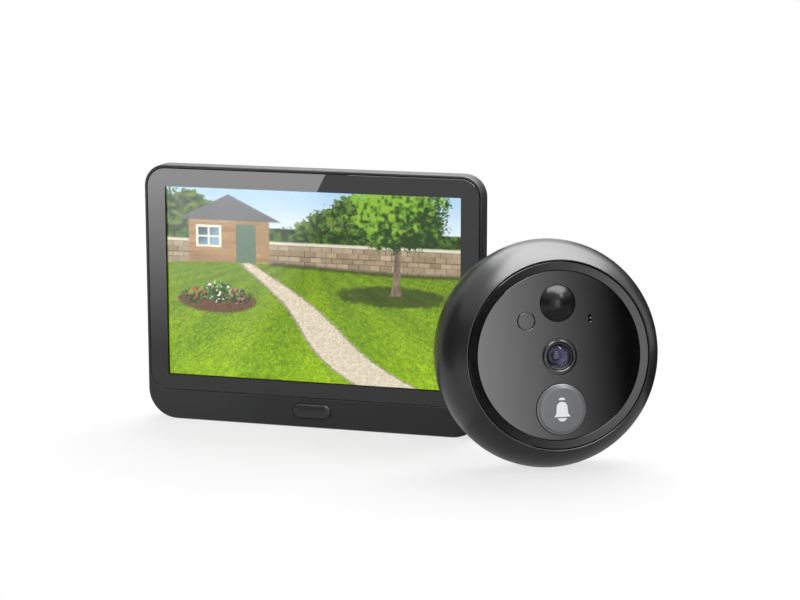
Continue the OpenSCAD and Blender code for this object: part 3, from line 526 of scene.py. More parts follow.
def display_finish():
    material = bpy.data.materials.new("display_picture")
    material.use_nodes = True
    tree = material.node_tree
    shader = tree.nodes["Principled BSDF"]
    shader.inputs["Base Color"].default_value = (0.004, 0.004, 0.005, 1)
    shader.inputs["Emission Strength"].default_value = 1
    picture = add(tree, "ShaderNodeAttribute", attribute_name="picture")
    tree.links.new(picture.outputs["Color"], shader.inputs["Emission Color"])
    smudged(material, 0.3, 0.4, 500)
    return material


work = bmesh.new()
columns = np.linspace(-view_width / 2, view_width / 2, picture_columns + 1)
rows = np.linspace(view_low, view_low + view_height, picture_rows + 1)
dark = view_width / 2 + picture_edge
columns = np.concatenate(([-panel_half, -dark], columns, [dark, panel_half]))
dark = (view_low - picture_edge, view_low + view_height + picture_edge)
rows = np.concatenate(([panel_low.z / mm, dark[0]], rows, [dark[1], panel_high.z / mm]))
front = [[work.verts.new((x, y, panel_front)) for x in columns] for y in rows]
for lower, upper in zip(front, front[1:]):
    for i in range(len(columns) - 1):
        work.faces.new((lower[i], lower[i + 1], upper[i + 1], upper[i]))
rim = front[0] + [row[-1] for row in front[1:-1]] + front[-1][::-1] + [row[0] for row in front[-2:0:-1]]
back = [work.verts.new((corner.co.x, corner.co.y, panel_front - panel_thick)) for corner in rim]
wall_between(work, [rim, back])
work.faces.new(back)
display = make_piece("display_panel", work, monitor_place, display_finish())
points = np.empty(len(display.data.vertices) * 3)
display.data.vertices.foreach_get("co", points)
points = points.reshape(-1, 3) / mm
lit_x = points[:, 0] + view_width / 2
lit_y = points[:, 2] - view_low
lit = (lit_x > -0.01) & (lit_x < view_width + 0.01) & (lit_y > -0.01) & (lit_y < view_height + 0.01)
lit &= points[:, 1] < case_low.y / mm - panel_front + 0.1
colours = screen_light(garden(lit_x, lit_y)) * lit[:, None]
picture = display.data.attributes.new("picture", "FLOAT_COLOR", "POINT")
picture.data.foreach_set("color", np.hstack((colours, np.ones((len(colours), 1)))).ravel())
settle(display, "root", "display", "lcd_panel")

# Wake key: a pill of soft touch plastic with a crowned top, held behind the frame by its flange
# and pushed back by a small switch.
key_out = 0.7
key_rim = -0.05
key_flange = 0.7
key_flange_front = -2.65
key_flange_back = -3.45
key_plastic = finish_of("key_plastic", (0.020, 0.0203, 0.021), 0.4)
work = bmesh.new()
key_rings = []
key_levels = [(key_flange, key_flange_back), (key_flange, key_flange_front), (0, key_flange_front)]
for step in range(9):
    angle = math.radians(80 * step / 8)
    inset = key_radius * (1 - math.cos(angle))
    key_levels.append((-inset, key_rim + (key_out - key_rim) * math.sin(angle)))
for growth, z in key_levels:
    key_rings.append(ring(work, pill(key_half + growth, key_height, key_radius + growth), z))
wall_between(work, key_rings)
flat_face(work, key_rings[0])
flat_face(work, key_rings[-1])
wake_key = make_piece("wake_key_cap", work, monitor_place, key_plastic)
settle(wake_key, "wake_key", "key_plastic", "wake_key")

# Rear cover: a tub of the same ABS, drawn in towards its back, with four slots for the hooks of
# the door bracket, a patch of sound holes, two deep screw wells and openings for the sockets.
cover_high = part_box("rear_cover")[1]
case_depth = (cover_high.y - case_low.y) / mm
cover_front = -band_depth
cover_step = 0.8
cover_taper_side = 8
cover_taper_top = 7
cover_round = 0.8
cover_inner = -case_depth + case_wall
slot_half = (1.6, 5)
slot_places = [(x, y) for x in (-33, 33) for y in (27, 46)]
link_low, link_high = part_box("link_socket")
usb_low, usb_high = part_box("usb_socket")
reset_low, reset_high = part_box("reset_key")
pad_radius = 3
pad_seat = 0.6
pad_places = [(x, y) for x in (-39.9, 39.9) for y in (7.8, 66.8)]
case_screw_places = [(-34, 6), (34, 6)]
screw_head = 1.8
well_radius = screw_head + 0.1
well_seat = cover_front - case_wall
speaker_place = (0, 61)


def cover_outline(z, inset):
    share = (cover_front - z) / (case_depth - band_depth)
    half = case_half - cover_step - cover_taper_side * share - inset
    top = case_top - cover_step - cover_taper_top * share - inset
    return round_box(half, inset, top, case_corner_low - cover_step - inset,
                     case_corner_top - cover_step - inset)


def circle(x, y, radius, steps=32):
    angles = [2 * math.pi * step / steps for step in range(steps)]
    return [(x + radius * math.cos(a), y + radius * math.sin(a)) for a in angles]


def box_outline(x, y, half_x, half_y, corner):
    return [(x + px, y + py) for px, py in round_box(half_x, -half_y, half_y, corner, corner, 4)]


def dress(tree, given, made, shape):
    dressed = add(tree, "GeometryNodeSetMaterial")
    feed(tree, dressed, Geometry=shape, Material=given.outputs["Finish"])
    feed(tree, made, Geometry=dressed.outputs["Geometry"])
    return tree


def sound_hole_tree():
    number = "NodeSocketFloat"
    tree, given, made = new_group(
        "sound_holes", "GeometryNodeTree",
        {"Geometry": "NodeSocketGeometry", "Hole Radius": number, "Pitch": number,
         "Patch Radius": number, "Patch Height": number, "Wall Depth": number,
         "Finish": "NodeSocketMaterial"},
        {"Geometry": "NodeSocketGeometry"},
    )
    across = math_of(tree, "DIVIDE", given.outputs["Patch Radius"], given.outputs["Pitch"])
    across = math_of(tree, "FLOOR", across, 0)
    count = math_of(tree, "ADD", math_of(tree, "MULTIPLY", across, 2), 1)
    span = math_of(tree, "MULTIPLY", math_of(tree, "MULTIPLY", across, 2), given.outputs["Pitch"])
    grid = add(tree, "GeometryNodeMeshGrid")
    feed(tree, grid, Size_X=span, Size_Y=span, Vertices_X=count, Vertices_Y=count)
    place = add(tree, "GeometryNodeInputPosition").outputs["Position"]
    length = add(tree, "ShaderNodeVectorMath", operation="LENGTH")
    tree.links.new(place, length.inputs[0])
    outside_patch = add(tree, "FunctionNodeCompare", operation="GREATER_THAN")
    tree.links.new(length.outputs["Value"], outside_patch.inputs[0])
    tree.links.new(given.outputs["Patch Radius"], outside_patch.inputs[1])
    patch = add(tree, "GeometryNodeDeleteGeometry", domain="POINT")
    feed(tree, patch, Geometry=grid.outputs["Mesh"], Selection=outside_patch.outputs["Result"])
    drill = add(tree, "GeometryNodeMeshCylinder")
    feed(tree, drill, Vertices=20, Radius=given.outputs["Hole Radius"], Depth=5.0)
    drills = add(tree, "GeometryNodeInstanceOnPoints")
    feed(tree, drills, Points=patch.outputs["Geometry"], Instance=drill.outputs["Mesh"])
    shift = add(tree, "ShaderNodeCombineXYZ")
    feed(tree, shift, Y=given.outputs["Patch Height"], Z=given.outputs["Wall Depth"])
    moved = add(tree, "GeometryNodeTransform")
    feed(tree, moved, Geometry=drills.outputs["Instances"], Translation=shift.outputs["Vector"])
    solid = add(tree, "GeometryNodeRealizeInstances")
    feed(tree, solid, Geometry=moved.outputs["Geometry"])
    bored = add(tree, "GeometryNodeMeshBoolean", operation="DIFFERENCE", solver="EXACT")
    tree.links.new(given.outputs["Geometry"], bored.inputs["Mesh 1"])
    tree.links.new(solid.outputs["Geometry"], bored.inputs["Mesh 2"])
    return dress(tree, given, made, bored.outputs["Mesh"])


# The cover's ABS is coloured darker than the front frame's: painted shade on the monitor's sides.
shaded_cover_plastic = finish_of("shaded_cover_plastic", (0.0105, 0.0107, 0.0112), 0.48, grain=3200, depth=0.000007)
work = bmesh.new()
tub = [ring(work, cover_outline(cover_front, case_wall), cover_front)]
tub.append(ring(work, cover_outline(cover_front, 0), cover_front))
for inset, drop in quarter_round(cover_round):
    z = -case_depth - drop
    tub.append(ring(work, cover_outline(z, inset), z))
inner = [ring(work, cover_outline(z, case_wall), z) for z in (cover_front, cover_inner)]
wall_between(work, tub, leave_open=(1,))
wall_between(work, inner, leave_open=(0,))
foot_holes = []
inner_foot_holes = []
usb_half = ((usb_high.x - usb_low.x) / 2 / mm + 0.1, (usb_high.y - usb_low.y) / 2 / mm + 0.1)
usb_z = (case_low.y - (usb_low.y + usb_high.y) / 2) / mm
reset_z = (case_low.y - (reset_low.y + reset_high.y) / 2) / mm
usb_outline = box_outline((usb_low.x + usb_high.x) / 2 / mm, usb_z, *usb_half, 0.5)
reset_outline = circle((reset_low.x + reset_high.x) / 2 / mm, reset_z, 0.75, 20)
for outline in (usb_outline, reset_outline):
    levels = [[work.verts.new((x, y, z)) for x, z in outline] for y in (0, case_wall)]
    wall_between(work, levels)
    foot_holes.append(levels[0])
    inner_foot_holes.append(levels[1])
flat_face(work, [tub[1][-1], tub[1][0], tub[2][0], tub[2][-1]], foot_holes)
flat_face(work, [inner[0][-1], inner[0][0], inner[1][0], inner[1][-1]], inner_foot_holes)
back_holes = []
inner_holes = []
through = [box_outline(x, y, *slot_half, 0.5) for x, y in slot_places]
through.append(box_outline(0, (link_low.z + link_high.z) / 2 / mm, (link_high.x - link_low.x) / 2 / mm + 0.1,
                           (link_high.z - link_low.z) / 2 / mm + 0.1, 0.3))
for outline in through:
    levels = [ring(work, outline, z) for z in (-case_depth, cover_inner)]
    wall_between(work, levels)
    back_holes.append(levels[0])
    inner_holes.append(levels[1])
for x, y in pad_places:
    seat = [ring(work, circle(x, y, pad_radius + 0.1), z) for z in (-case_depth, -case_depth + pad_seat)]
    wall_between(work, seat)
    flat_face(work, seat[1])
    back_holes.append(seat[0])
for x, y in case_screw_places:
    well = [ring(work, circle(x, y, well_radius), z) for z in (-case_depth, well_seat)]
    tube = [ring(work, circle(x, y, well_radius + case_wall), z) for z in (cover_inner, cover_front)]
    for rings in (well, tube):
        wall_between(work, rings)
        flat_face(work, rings[1])
    back_holes.append(well[0])
    inner_holes.append(tube[0])
flat_face(work, tub[-1], back_holes)
flat_face(work, inner[-1], inner_holes)
rear_cover = make_piece(
    "rear_cover_tub", work, monitor_place, shaded_cover_plastic, sound_hole_tree(),
    **{"Hole Radius": 0.8, "Pitch": 2.8, "Patch Radius": 5.7, "Patch Height": speaker_place[1],
       "Wall Depth": -case_depth, "Finish": shaded_cover_plastic},
)
settle(rear_cover, "root", "case_plastic", "rear_cover")

# Camera housing: a turned looking shell, moulded and sprayed in a dark satin paint.
# Its shoulder arches back from the lip to the widest line, and a narrow cone below that line
# carries the camera on the surface it stands on. Sizes are in millimetres on axes of the face.
joint_axis = {joint["name"]: Vector(joint["axis"]) for joint in frame["joints"]}
face_right = joint_axis["filter_shift"].normalized()
face_out = -joint_axis["bell_press"].normalized()
face_up = face_out.cross(face_right)
face_thick = 1.5
face_low, face_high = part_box("face_plate")
face_middle = (face_low + face_high) / 2 + face_out * face_thick / 2 * mm
face_place = Matrix.Translation(face_middle) @ Matrix((face_right, face_up, face_out)).transposed().to_4x4()
face_place = face_place @ Matrix.Scale(mm, 4)
bezel_rise = 0.25
bezel_radius = 26.2
lip_radius = 26.5
lip_width = 0.3
lip_depth = 4.5
housing_radius = 32.59
waist_depth = 12.3
rest_length = 4
rest_lean = math.radians(8.5)
rear_radius = 4
rear_turn = math.radians(60)
housing_bore = 28.4


def turned(work, profile, closed, steps=240, middle=(0, 0)):
    rings = [ring(work, circle(*middle, radius, steps), z) for radius, z in profile]
    if closed:
        rings.append(rings[0])
    wall_between(work, rings)
    return rings


def arc(middle_x, middle_z, radius, start, end, steps):
    angles = [start + (end - start) * step / steps for step in range(steps + 1)]
    return [(middle_x + radius * math.cos(a), middle_z + radius * math.sin(a)) for a in angles]


shoulder_run = housing_radius - lip_radius - lip_width
shoulder_fall = waist_depth + bezel_rise
shoulder_radius = (shoulder_run ** 2 + shoulder_fall ** 2) / (2 * shoulder_run)
shoulder_start = math.asin(shoulder_fall / shoulder_radius)
band_z = -waist_depth - rest_length
band_radius = housing_radius - rest_length * math.tan(rest_lean)
rear_x = band_radius - rear_radius * math.cos(rest_lean)
rear_z = band_z + rear_radius * math.sin(rest_lean)
housing_back = rear_z - rear_radius * math.sin(rear_turn)
housing_profile = [(housing_bore, -lip_depth), (lip_radius, -lip_depth)]
housing_profile.append((lip_radius, bezel_rise - small_edge))
housing_profile.append((lip_radius + small_edge, bezel_rise))
housing_profile += arc(housing_radius - shoulder_radius, -waist_depth, shoulder_radius, shoulder_start, 0, 40)
housing_profile += arc(rear_x, rear_z, rear_radius, -rest_lean, -rear_turn, 10)
housing_profile.append((housing_bore, housing_back))
housing_paint = finish_of("housing_paint", (0.017, 0.0174, 0.0182), 0.3, grain=5200, mottle=0.12,
                          depth=0.000002)
sound_radius = 0.7
sound_height = band_z + 1.5
sound_count = 13
sound_start = math.radians(234)
sound_step = math.radians(6)


def ring_of_copies(tree, given, shape):
    points = add(tree, "GeometryNodePoints")
    feed(tree, points, Count=given.outputs["Count"])
    index = add(tree, "GeometryNodeInputIndex").outputs["Index"]
    turn = math_of(tree, "MULTIPLY", index, given.outputs["Step"])
    spin = add(tree, "ShaderNodeCombineXYZ")
    feed(tree, spin, Z=math_of(tree, "ADD", turn, given.outputs["Start"]))
    copies = add(tree, "GeometryNodeInstanceOnPoints")
    feed(tree, copies, Points=points.outputs["Points"], Instance=shape, Rotation=spin.outputs["Vector"])
    solid = add(tree, "GeometryNodeRealizeInstances")
    feed(tree, solid, Geometry=copies.outputs["Instances"])
    return solid


def holes_on_arc_tree():
    number = "NodeSocketFloat"
    tree, given, made = new_group(
        "holes_on_arc", "GeometryNodeTree",
        {"Geometry": "NodeSocketGeometry", "Count": "NodeSocketInt", "Start": number, "Step": number,
         "Hole Radius": number, "Reach": number, "Height": number, "Finish": "NodeSocketMaterial"},
        {"Geometry": "NodeSocketGeometry"},
    )
    drill = add(tree, "GeometryNodeMeshCylinder")
    feed(tree, drill, Vertices=24, Radius=given.outputs["Hole Radius"], Depth=9.0)
    shift = add(tree, "ShaderNodeCombineXYZ")
    feed(tree, shift, X=given.outputs["Reach"], Z=given.outputs["Height"])
    laid = add(tree, "GeometryNodeTransform")
    feed(tree, laid, Geometry=drill.outputs["Mesh"], Translation=shift.outputs["Vector"],
         Rotation=(0, math.pi / 2, 0))
    solid = ring_of_copies(tree, given, laid.outputs["Geometry"])
    bored = add(tree, "GeometryNodeMeshBoolean", operation="DIFFERENCE", solver="EXACT")
    tree.links.new(given.outputs["Geometry"], bored.inputs["Mesh 1"])
    tree.links.new(solid.outputs["Geometry"], bored.inputs["Mesh 2"])
    return dress(tree, given, made, bored.outputs["Mesh"])


work = bmesh.new()
turned(work, housing_profile, closed=True)
camera_housing = make_piece(
    "camera_housing_shell", work, face_place, housing_paint, holes_on_arc_tree(),
    **{"Count": sound_count, "Start": sound_start, "Step": sound_step, "Hole Radius": sound_radius,
       "Reach": housing_bore + 2, "Height": sound_height, "Finish": housing_paint},
)
settle(camera_housing, "root", "housing_paint", "camera_housing")

# Bezel ring: a glossy black moulding that slopes up from the face plate to the housing's lip.
# Its flange clamps the face plate and its gasket from behind.
face_radius = 23.7
face_gap = 0.1
flange_back = -5.9
ledge_radius = 22.7
ledge_z = -2
bezel_gloss = finish_of("bezel_gloss", (0.004, 0.004, 0.0042), 0.13, grain=900, mottle=0.1, depth=0.0000006)
work = bmesh.new()
turned(work, [
    (face_radius + face_gap, -small_edge), (face_radius + face_gap + small_edge, 0.01),
    (bezel_radius - small_edge, bezel_rise), (bezel_radius, bezel_rise - small_edge),
    (bezel_radius, -lip_depth), (housing_bore - face_gap, -lip_depth),
    (housing_bore - face_gap, flange_back), (ledge_radius, flange_back),
    (ledge_radius, ledge_z), (face_radius + face_gap, ledge_z),
], closed=True)
bezel_ring = make_piece("bezel_ring_moulding", work, face_place, bezel_gloss)
settle(bezel_ring, "root", "bezel_gloss", "bezel_ring")

# Face plate: a flat disc of black acrylic with polished edges, bored for the motion sensor,
# the lens, the bell button, the light window and the microphone.
pir_place = (0, 14.6)
pir_radius = 5.15
lens_place = (0, -0.3)
lens_ring_radius = 5.1
bell_place = (0, -15.1)
bell_radius = 7.1
window_place = (-9.3, 10)
window_radius = 2.6
mic_place = (9.3, 10)
mic_hole_radius = 0.45
mic_pitch = 1.2
polish = 0.08
face_gloss = finish_of("face_gloss", (0.0018, 0.0018, 0.002), 0.05, grain=700, mottle=0.1, depth=0.0000002,
                       Specular_IOR_Level=0.8)
smudged(face_gloss, 0.05, 0.11, 90)
work = bmesh.new()
disc = [ring(work, circle(0, 0, face_radius - inset, 240), z)
        for inset, z in ((0, -face_thick), (0, -polish), (polish, 0))]
wall_between(work, disc)
face_holes = [(*pir_place, pir_radius, 96), (*lens_place, lens_ring_radius, 96)]
face_holes += [(*bell_place, bell_radius + key_gap, 128), (*window_place, window_radius, 64)]
face_holes += [(mic_place[0], mic_place[1] + s * mic_pitch / 2, mic_hole_radius, 32) for s in (-1, 1)]
front_holes = []
rear_holes = []
for x, y, radius, steps in face_holes:
    bore = [ring(work, circle(x, y, radius + growth, steps), z)
            for growth, z in ((polish, 0), (0, -polish), (0, -face_thick))]
    wall_between(work, bore)
    front_holes.append(bore[0])
    rear_holes.append(bore[-1])
flat_face(work, disc[-1], front_holes)
flat_face(work, disc[0], rear_holes)
face_plate = make_piece("face_plate_disc", work, face_place, face_gloss)
settle(face_plate, "root", "face_gloss", "face_plate")

# Motion sensor lens: a domed cap of black polyethylene, snapped into the face plate from behind.
# Its flange bears on the back of the plate.
pir_rise = 2.4
pir_wall = 0.6
pir_neck = pir_radius - face_gap
retain_width = 0.9
retain_thick = 1
retain_back = -face_thick - retain_thick
dome_plastic = finish_of("dome_plastic", (0.010, 0.010, 0.0105), 0.24, grain=1500, depth=0.000001,
                         Specular_IOR_Level=0.25)
dome_radius = (pir_neck ** 2 + pir_rise ** 2) / (2 * pir_rise)
dome_edge = math.asin((dome_radius - pir_rise) / dome_radius)
inner_edge = math.acos((pir_neck - pir_wall) / (dome_radius - pir_wall))
work = bmesh.new()
dome_profile = arc(0, pir_rise - dome_radius, dome_radius, math.pi / 2, dome_edge, 24)
dome_profile += [(pir_neck, -face_thick), (pir_radius + retain_width, -face_thick)]
dome_profile += [(pir_radius + retain_width, retain_back), (pir_neck - pir_wall, retain_back)]
dome_profile += arc(0, pir_rise - dome_radius, dome_radius - pir_wall, inner_edge, math.pi / 2, 12)
turned(work, dome_profile, closed=False, steps=96, middle=pir_place)
pir_lens = make_piece("motion_sensor_dome", work, face_place, dome_plastic)
settle(pir_lens, "root", "dome_plastic", "pir_lens")

# Light window: a plug of infrared passing acrylic, polished flush with the face plate.
# It is glued in from behind, where its flange is wider than the hole.
window_gap = 0.22
window_plug = window_radius - window_gap
window_gloss = finish_of("window_gloss", (0.007, 0.006, 0.007), 0.07, grain=700, mottle=0.1, depth=0.0000002,
                         Specular_IOR_Level=0.8)
work = bmesh.new()
plug = turned(work, [
    (window_radius + retain_width, retain_back), (window_radius + retain_width, -face_thick),
    (window_plug, -face_thick), (window_plug, -polish), (window_plug - polish, 0),
], closed=False, steps=64, middle=window_place)
flat_face(work, plug[0])
flat_face(work, plug[-1])
light_window = make_piece("light_window_plug", work, face_place, window_gloss)
settle(light_window, "root", "face_gloss", "light_window")

# Lens ring: a turned trim of glossy black plastic, a raised land inside a deep groove that
# sets it off from the face plate.
ring_land_z = 0.36
ring_land = 4.56
ring_groove = -0.6
ring_inner = 4
ring_plastic = finish_of("ring_plastic", (0.010, 0.010, 0.0105), 0.12, grain=900, mottle=0.1,
                         depth=0.0000004, Specular_IOR_Level=0.8)
work = bmesh.new()
turned(work, [
    (ring_inner, retain_back), (lens_ring_radius + retain_width, retain_back),
    (lens_ring_radius + retain_width, -face_thick), (lens_ring_radius - face_gap, -face_thick),
    (lens_ring_radius - face_gap, ring_groove), (ring_land, ring_groove),
    (ring_land, ring_land_z - small_edge), (ring_land - small_edge, ring_land_z),
    (ring_inner + small_edge, ring_land_z), (ring_inner, ring_land_z - small_edge),
], closed=True, steps=96, middle=lens_place)
lens_ring = make_piece("lens_ring_trim", work, face_place, ring_plastic)
settle(lens_ring, "root", "ring_plastic", "lens_ring")

# Lens barrel: an anodised tube with a stepped, blackened mouth that holds the lenses.
barrel_radius = 3.9
barrel_bore = 3.5
barrel_front = -0.3
barrel_back = -9.3
stop_front = -2.2
stop_back = -3.0
light_path = 2
stop_step = 2.7
stop_sink = 0.4
barrel_black = finish_of("barrel_black", (0.009, 0.009, 0.010), 0.3, grain=2600, depth=0.000002)
work = bmesh.new()
turned(work, [
    (barrel_radius, barrel_back), (barrel_radius, barrel_front - 0.1), (barrel_radius - 0.1, barrel_front),
    (barrel_bore + 0.08, barrel_front), (barrel_bore, barrel_front - 0.08), (barrel_bore, stop_front),
    (stop_step, stop_front - small_edge), (stop_step - small_edge, stop_front - stop_sink),
    (light_path + small_edge, stop_front - stop_sink), (light_path, stop_front - stop_sink - small_edge),
    (light_path, stop_back), (barrel_bore, stop_back), (barrel_bore, barrel_back),
], closed=True, steps=96, middle=lens_place)
lens_barrel = make_piece("lens_barrel_tube", work, face_place, barrel_black)
settle(lens_barrel, "root", "black_plastic", "lens_barrel")

# Front lens: a polished meniscus of crown glass with a violet anti-reflection coating.
# It sits in the barrel's mouth. Shadow and diffuse rays pass it, which keeps speckle off the rear lens.
lens_radius = 3.4
lens_rim_z = -1.2
lens_edge = 1
lens_rise = 0.9
lens_ball = (lens_radius ** 2 + lens_rise ** 2) / (2 * lens_rise)
lens_side = math.asin((lens_ball - lens_rise) / lens_ball)
coated_lens = bpy.data.materials.new("coated_lens")
coated_lens.use_nodes = True
lens_shader = coated_lens.node_tree.nodes["Principled BSDF"]
lens_shader.inputs["Base Color"].default_value = (0.55, 0.60, 0.70, 1)
lens_shader.inputs["Transmission Weight"].default_value = 1
lens_shader.inputs["IOR"].default_value = 1.45
lens_shader.inputs["Specular Tint"].default_value = (0.75, 0.68, 1, 1)
lens_shader.inputs["Specular IOR Level"].default_value = 0.14
smudged(coated_lens, 0.0, 0.006, 400)
work = bmesh.new()
lens_profile = arc(0, lens_rim_z + lens_rise - lens_ball, lens_ball, math.pi / 2, lens_side, 20)
lens_profile += [(lens_radius, lens_rim_z - lens_edge), (0, lens_rim_z - lens_edge)]
turned(work, lens_profile, closed=False, steps=96, middle=lens_place)
front_lens = make_piece("front_lens_glass", work, face_place, coated_lens)
front_lens.visible_shadow = False
front_lens.visible_diffuse = False
settle(front_lens, "root", "lens_glass", "front_lens")

# Rear lens: a dark blue doublet behind the stop, dished towards a pupil coloured black, painted shade for the
# dark inside of the camera.
# It is held in the barrel from behind.
rear_lens_front = stop_back
rear_lens_back = -4.6
pupil_radius = 1.25
pupil_front = -3.3
pupil_back = -4.2
rear_lens_blue = finish_of("rear_lens_blue", (0.085, 0.11, 0.15), 0.4, grain=900, mottle=0.1,
                           depth=0.0000004, Specular_IOR_Level=0.1)
pupil_painted_shade = finish_of("pupil_painted_shade", (0.001, 0.001, 0.0012), 0.5, Specular_IOR_Level=0.05)
work = bmesh.new()
rear_rings = turned(work, [
    (lens_radius, rear_lens_back), (lens_radius, rear_lens_front), (light_path - small_edge, rear_lens_front),
    (pupil_radius + small_edge, pupil_front), (pupil_radius, pupil_front - small_edge),
], closed=False, steps=96, middle=lens_place)
flat_face(work, rear_rings[0])
pupil = turned(work, [(pupil_radius, pupil_front - small_edge), (pupil_radius, pupil_back)],
               closed=False, steps=96, middle=lens_place)
flat_face(work, pupil[-1])
# Faces in the pupil take the black finish: painted shade where the camera's dark inside would show.
for face in work.faces:
    middle = face.calc_center_median()
    deep = math.hypot(middle.x - lens_place[0], middle.y - lens_place[1]) < pupil_radius - small_edge / 100
    face.material_index = int(deep and middle.z > rear_lens_back + small_edge)
rear_lens = make_piece("rear_lens_doublet", work, face_place, rear_lens_blue)
rear_lens.data.materials.append(pupil_painted_shade)
settle(rear_lens, "root", "lens_glass", "rear_lens")

# Bell button: a round key of grey satin plastic with a broad bevel between two narrow edge bands, coloured
# lighter as painted highlights.
# A white bell is moulded into a pocket of its top, and a flange holds it behind the face plate.
bell_out = 1
bell_bevel = 1.05
bell_fall = 0.45
bell_edge_band = 0.14
bell_flange_back = -2.65
bell_stem_radius = 2.2
bell_stem_back = -3.4
symbol_depth = 0.3
symbol_gap = 0.02
symbol_unit = 6.7 / 20
symbol_spread = 1.06


def bell_outlines(shrink):
    crown = [(4.5 * math.cos(a), 2 + 4.5 * math.sin(a)) for a in np.linspace(0, math.pi, 19)]
    cap = [(2.8 * math.cos(a), 7.9 + 2.1 * math.sin(a)) for a in np.linspace(0, math.pi, 13)]
    skirt = [(-5, -3.5), (-6.8, -6.2), (6.8, -6.2), (5, -3.5)]
    clapper_edge = math.acos(1.2 / 4)
    sweep = np.linspace(-math.pi / 2 - clapper_edge, -math.pi / 2 + clapper_edge, 15)
    clapper = [(4 * math.cos(a), -6 + 4 * math.sin(a)) for a in sweep]
    shapes = []
    for points in (cap, crown + skirt, clapper):
        middle = np.mean(points, axis=0)
        scaled = [(np.array(p) * symbol_unit + (middle - p) * shrink / 6) for p in points]
        shapes.append([(symbol_spread * x + bell_place[0], y + bell_place[1]) for x, y in scaled])
    return shapes


def in_painted_highlight_band(face):
    middle = face.calc_center_median()
    reach = math.hypot(middle.x - bell_place[0], middle.y - bell_place[1])
    lower = abs(reach - bell_radius + bell_edge_band / 2) < bell_edge_band / 2
    upper = abs(reach - bell_radius + bell_bevel + bell_edge_band / 2) < bell_edge_band / 2
    return (lower or upper) and middle.z > bell_out - bell_fall - bell_edge_band


button_plastic = finish_of("button_plastic", (0.15, 0.153, 0.16), 0.33, grain=4200, mottle=0.1,
                           depth=0.000002)
# Lighter grey for the two edge bands: painted highlights along the bevel's edges.
button_painted_highlight = finish_of("button_painted_highlight", (0.27, 0.275, 0.285), 0.22, grain=4200, mottle=0.1, depth=0.000001)
work = bmesh.new()
button = turned(work, [
    (bell_stem_radius, bell_stem_back), (bell_stem_radius, bell_flange_back),
    (bell_radius, bell_flange_back), (bell_radius, bell_out - bell_fall - bell_edge_band),
    (bell_radius - bell_edge_band, bell_out - bell_fall), (bell_radius - bell_bevel, bell_out - bell_edge_band / 2),
    (bell_radius - bell_bevel - bell_edge_band, bell_out),
], closed=False, steps=128, middle=bell_place)
# Faces of the two edge bands take the lighter grey, a painted highlight.
highlight_faces = [face for face in work.faces if face.calc_area() > 0 and in_painted_highlight_band(face)]
for face in highlight_faces:
    face.material_index = 1
pockets = []
for outline in bell_outlines(0):
    pocket = [ring(work, outline, z) for z in (bell_out, bell_out - symbol_depth)]
    wall_between(work, pocket)
    flat_face(work, pocket[1])
    pockets.append(pocket[0])
flat_face(work, button[0])
flat_face(work, button[-1], pockets)
bell_button = make_piece("bell_button_key", work, face_place, button_plastic)
bell_button.data.materials.append(button_painted_highlight)
settle(bell_button, "bell_button", "button_plastic", "bell_button")
symbol_white = finish_of("symbol_white", (0.95, 0.95, 0.95), 0.4, grain=4200, mottle=0.05, depth=0.000001)
work = bmesh.new()
for outline in bell_outlines(symbol_gap):
    mark = [ring(work, outline, z) for z in (bell_out - symbol_depth + symbol_gap, bell_out)]
    wall_between(work, mark)
    flat_face(work, mark[0])
    flat_face(work, mark[1])
bell_symbol = make_piece("bell_symbol_inlay", work, face_place, symbol_white)
settle(bell_symbol, "bell_button", "symbol_white", "bell_symbol")

# Screws of the rear: zinc plated pan heads with a cross recess, two deep in the wells of the
# monitor's rear cover and three in the counterbores of the camera's back plate.
screw_radius = 1
screw_head_high = 1
screw_rim = 0.2
cross_arm = 1.1
cross_half = 0.28
cross_depth = 0.5
cross_foot = 0.8
case_screw_reach = 4
back_screw_reach = 3.6
zinc_steel = finish_of("zinc_steel", (0.46, 0.47, 0.48), 0.3, 2500, Metallic=1)


def copies_on_grid_tree():
    number = "NodeSocketFloat"
    tree, given, made = new_group(
        "copies_on_grid", "GeometryNodeTree",
        {"Geometry": "NodeSocketGeometry", "Columns": "NodeSocketInt", "Rows": "NodeSocketInt",
         "Column Pitch": number, "Row Pitch": number, "Finish": "NodeSocketMaterial"},
        {"Geometry": "NodeSocketGeometry"},
    )
    spans = []
    for count, pitch in (("Columns", "Column Pitch"), ("Rows", "Row Pitch")):
        spans.append(math_of(tree, "MULTIPLY", math_of(tree, "SUBTRACT", given.outputs[count], 1),
                             given.outputs[pitch]))
    grid = add(tree, "GeometryNodeMeshGrid")
    feed(tree, grid, Size_X=spans[0], Size_Y=spans[1], Vertices_X=given.outputs["Columns"],
         Vertices_Y=given.outputs["Rows"])
    copies = add(tree, "GeometryNodeInstanceOnPoints")
    feed(tree, copies, Points=grid.outputs["Mesh"], Instance=given.outputs["Geometry"])
    solid = add(tree, "GeometryNodeRealizeInstances")
    feed(tree, solid, Geometry=copies.outputs["Instances"])
    return dress(tree, given, made, solid.outputs["Geometry"])


def copies_on_ring_tree():
    number = "NodeSocketFloat"
    tree, given, made = new_group(
        "copies_on_ring", "GeometryNodeTree",
        {"Geometry": "NodeSocketGeometry", "Count": "NodeSocketInt", "Start": number, "Step": number,
         "Finish": "NodeSocketMaterial"},
        {"Geometry": "NodeSocketGeometry"},
    )
    solid = ring_of_copies(tree, given, given.outputs["Geometry"])
    return dress(tree, given, made, solid.outputs["Geometry"])


def cross_outline(x, y, share):
    arm = cross_arm * share
    half = cross_half * share
    quarter = [(half, half), (arm, half), (arm, -half), (half, -half), (half, -arm), (-half, -arm)]
    return [(x + px, y + py) for px, py in quarter + [(-px, -py) for px, py in quarter]]


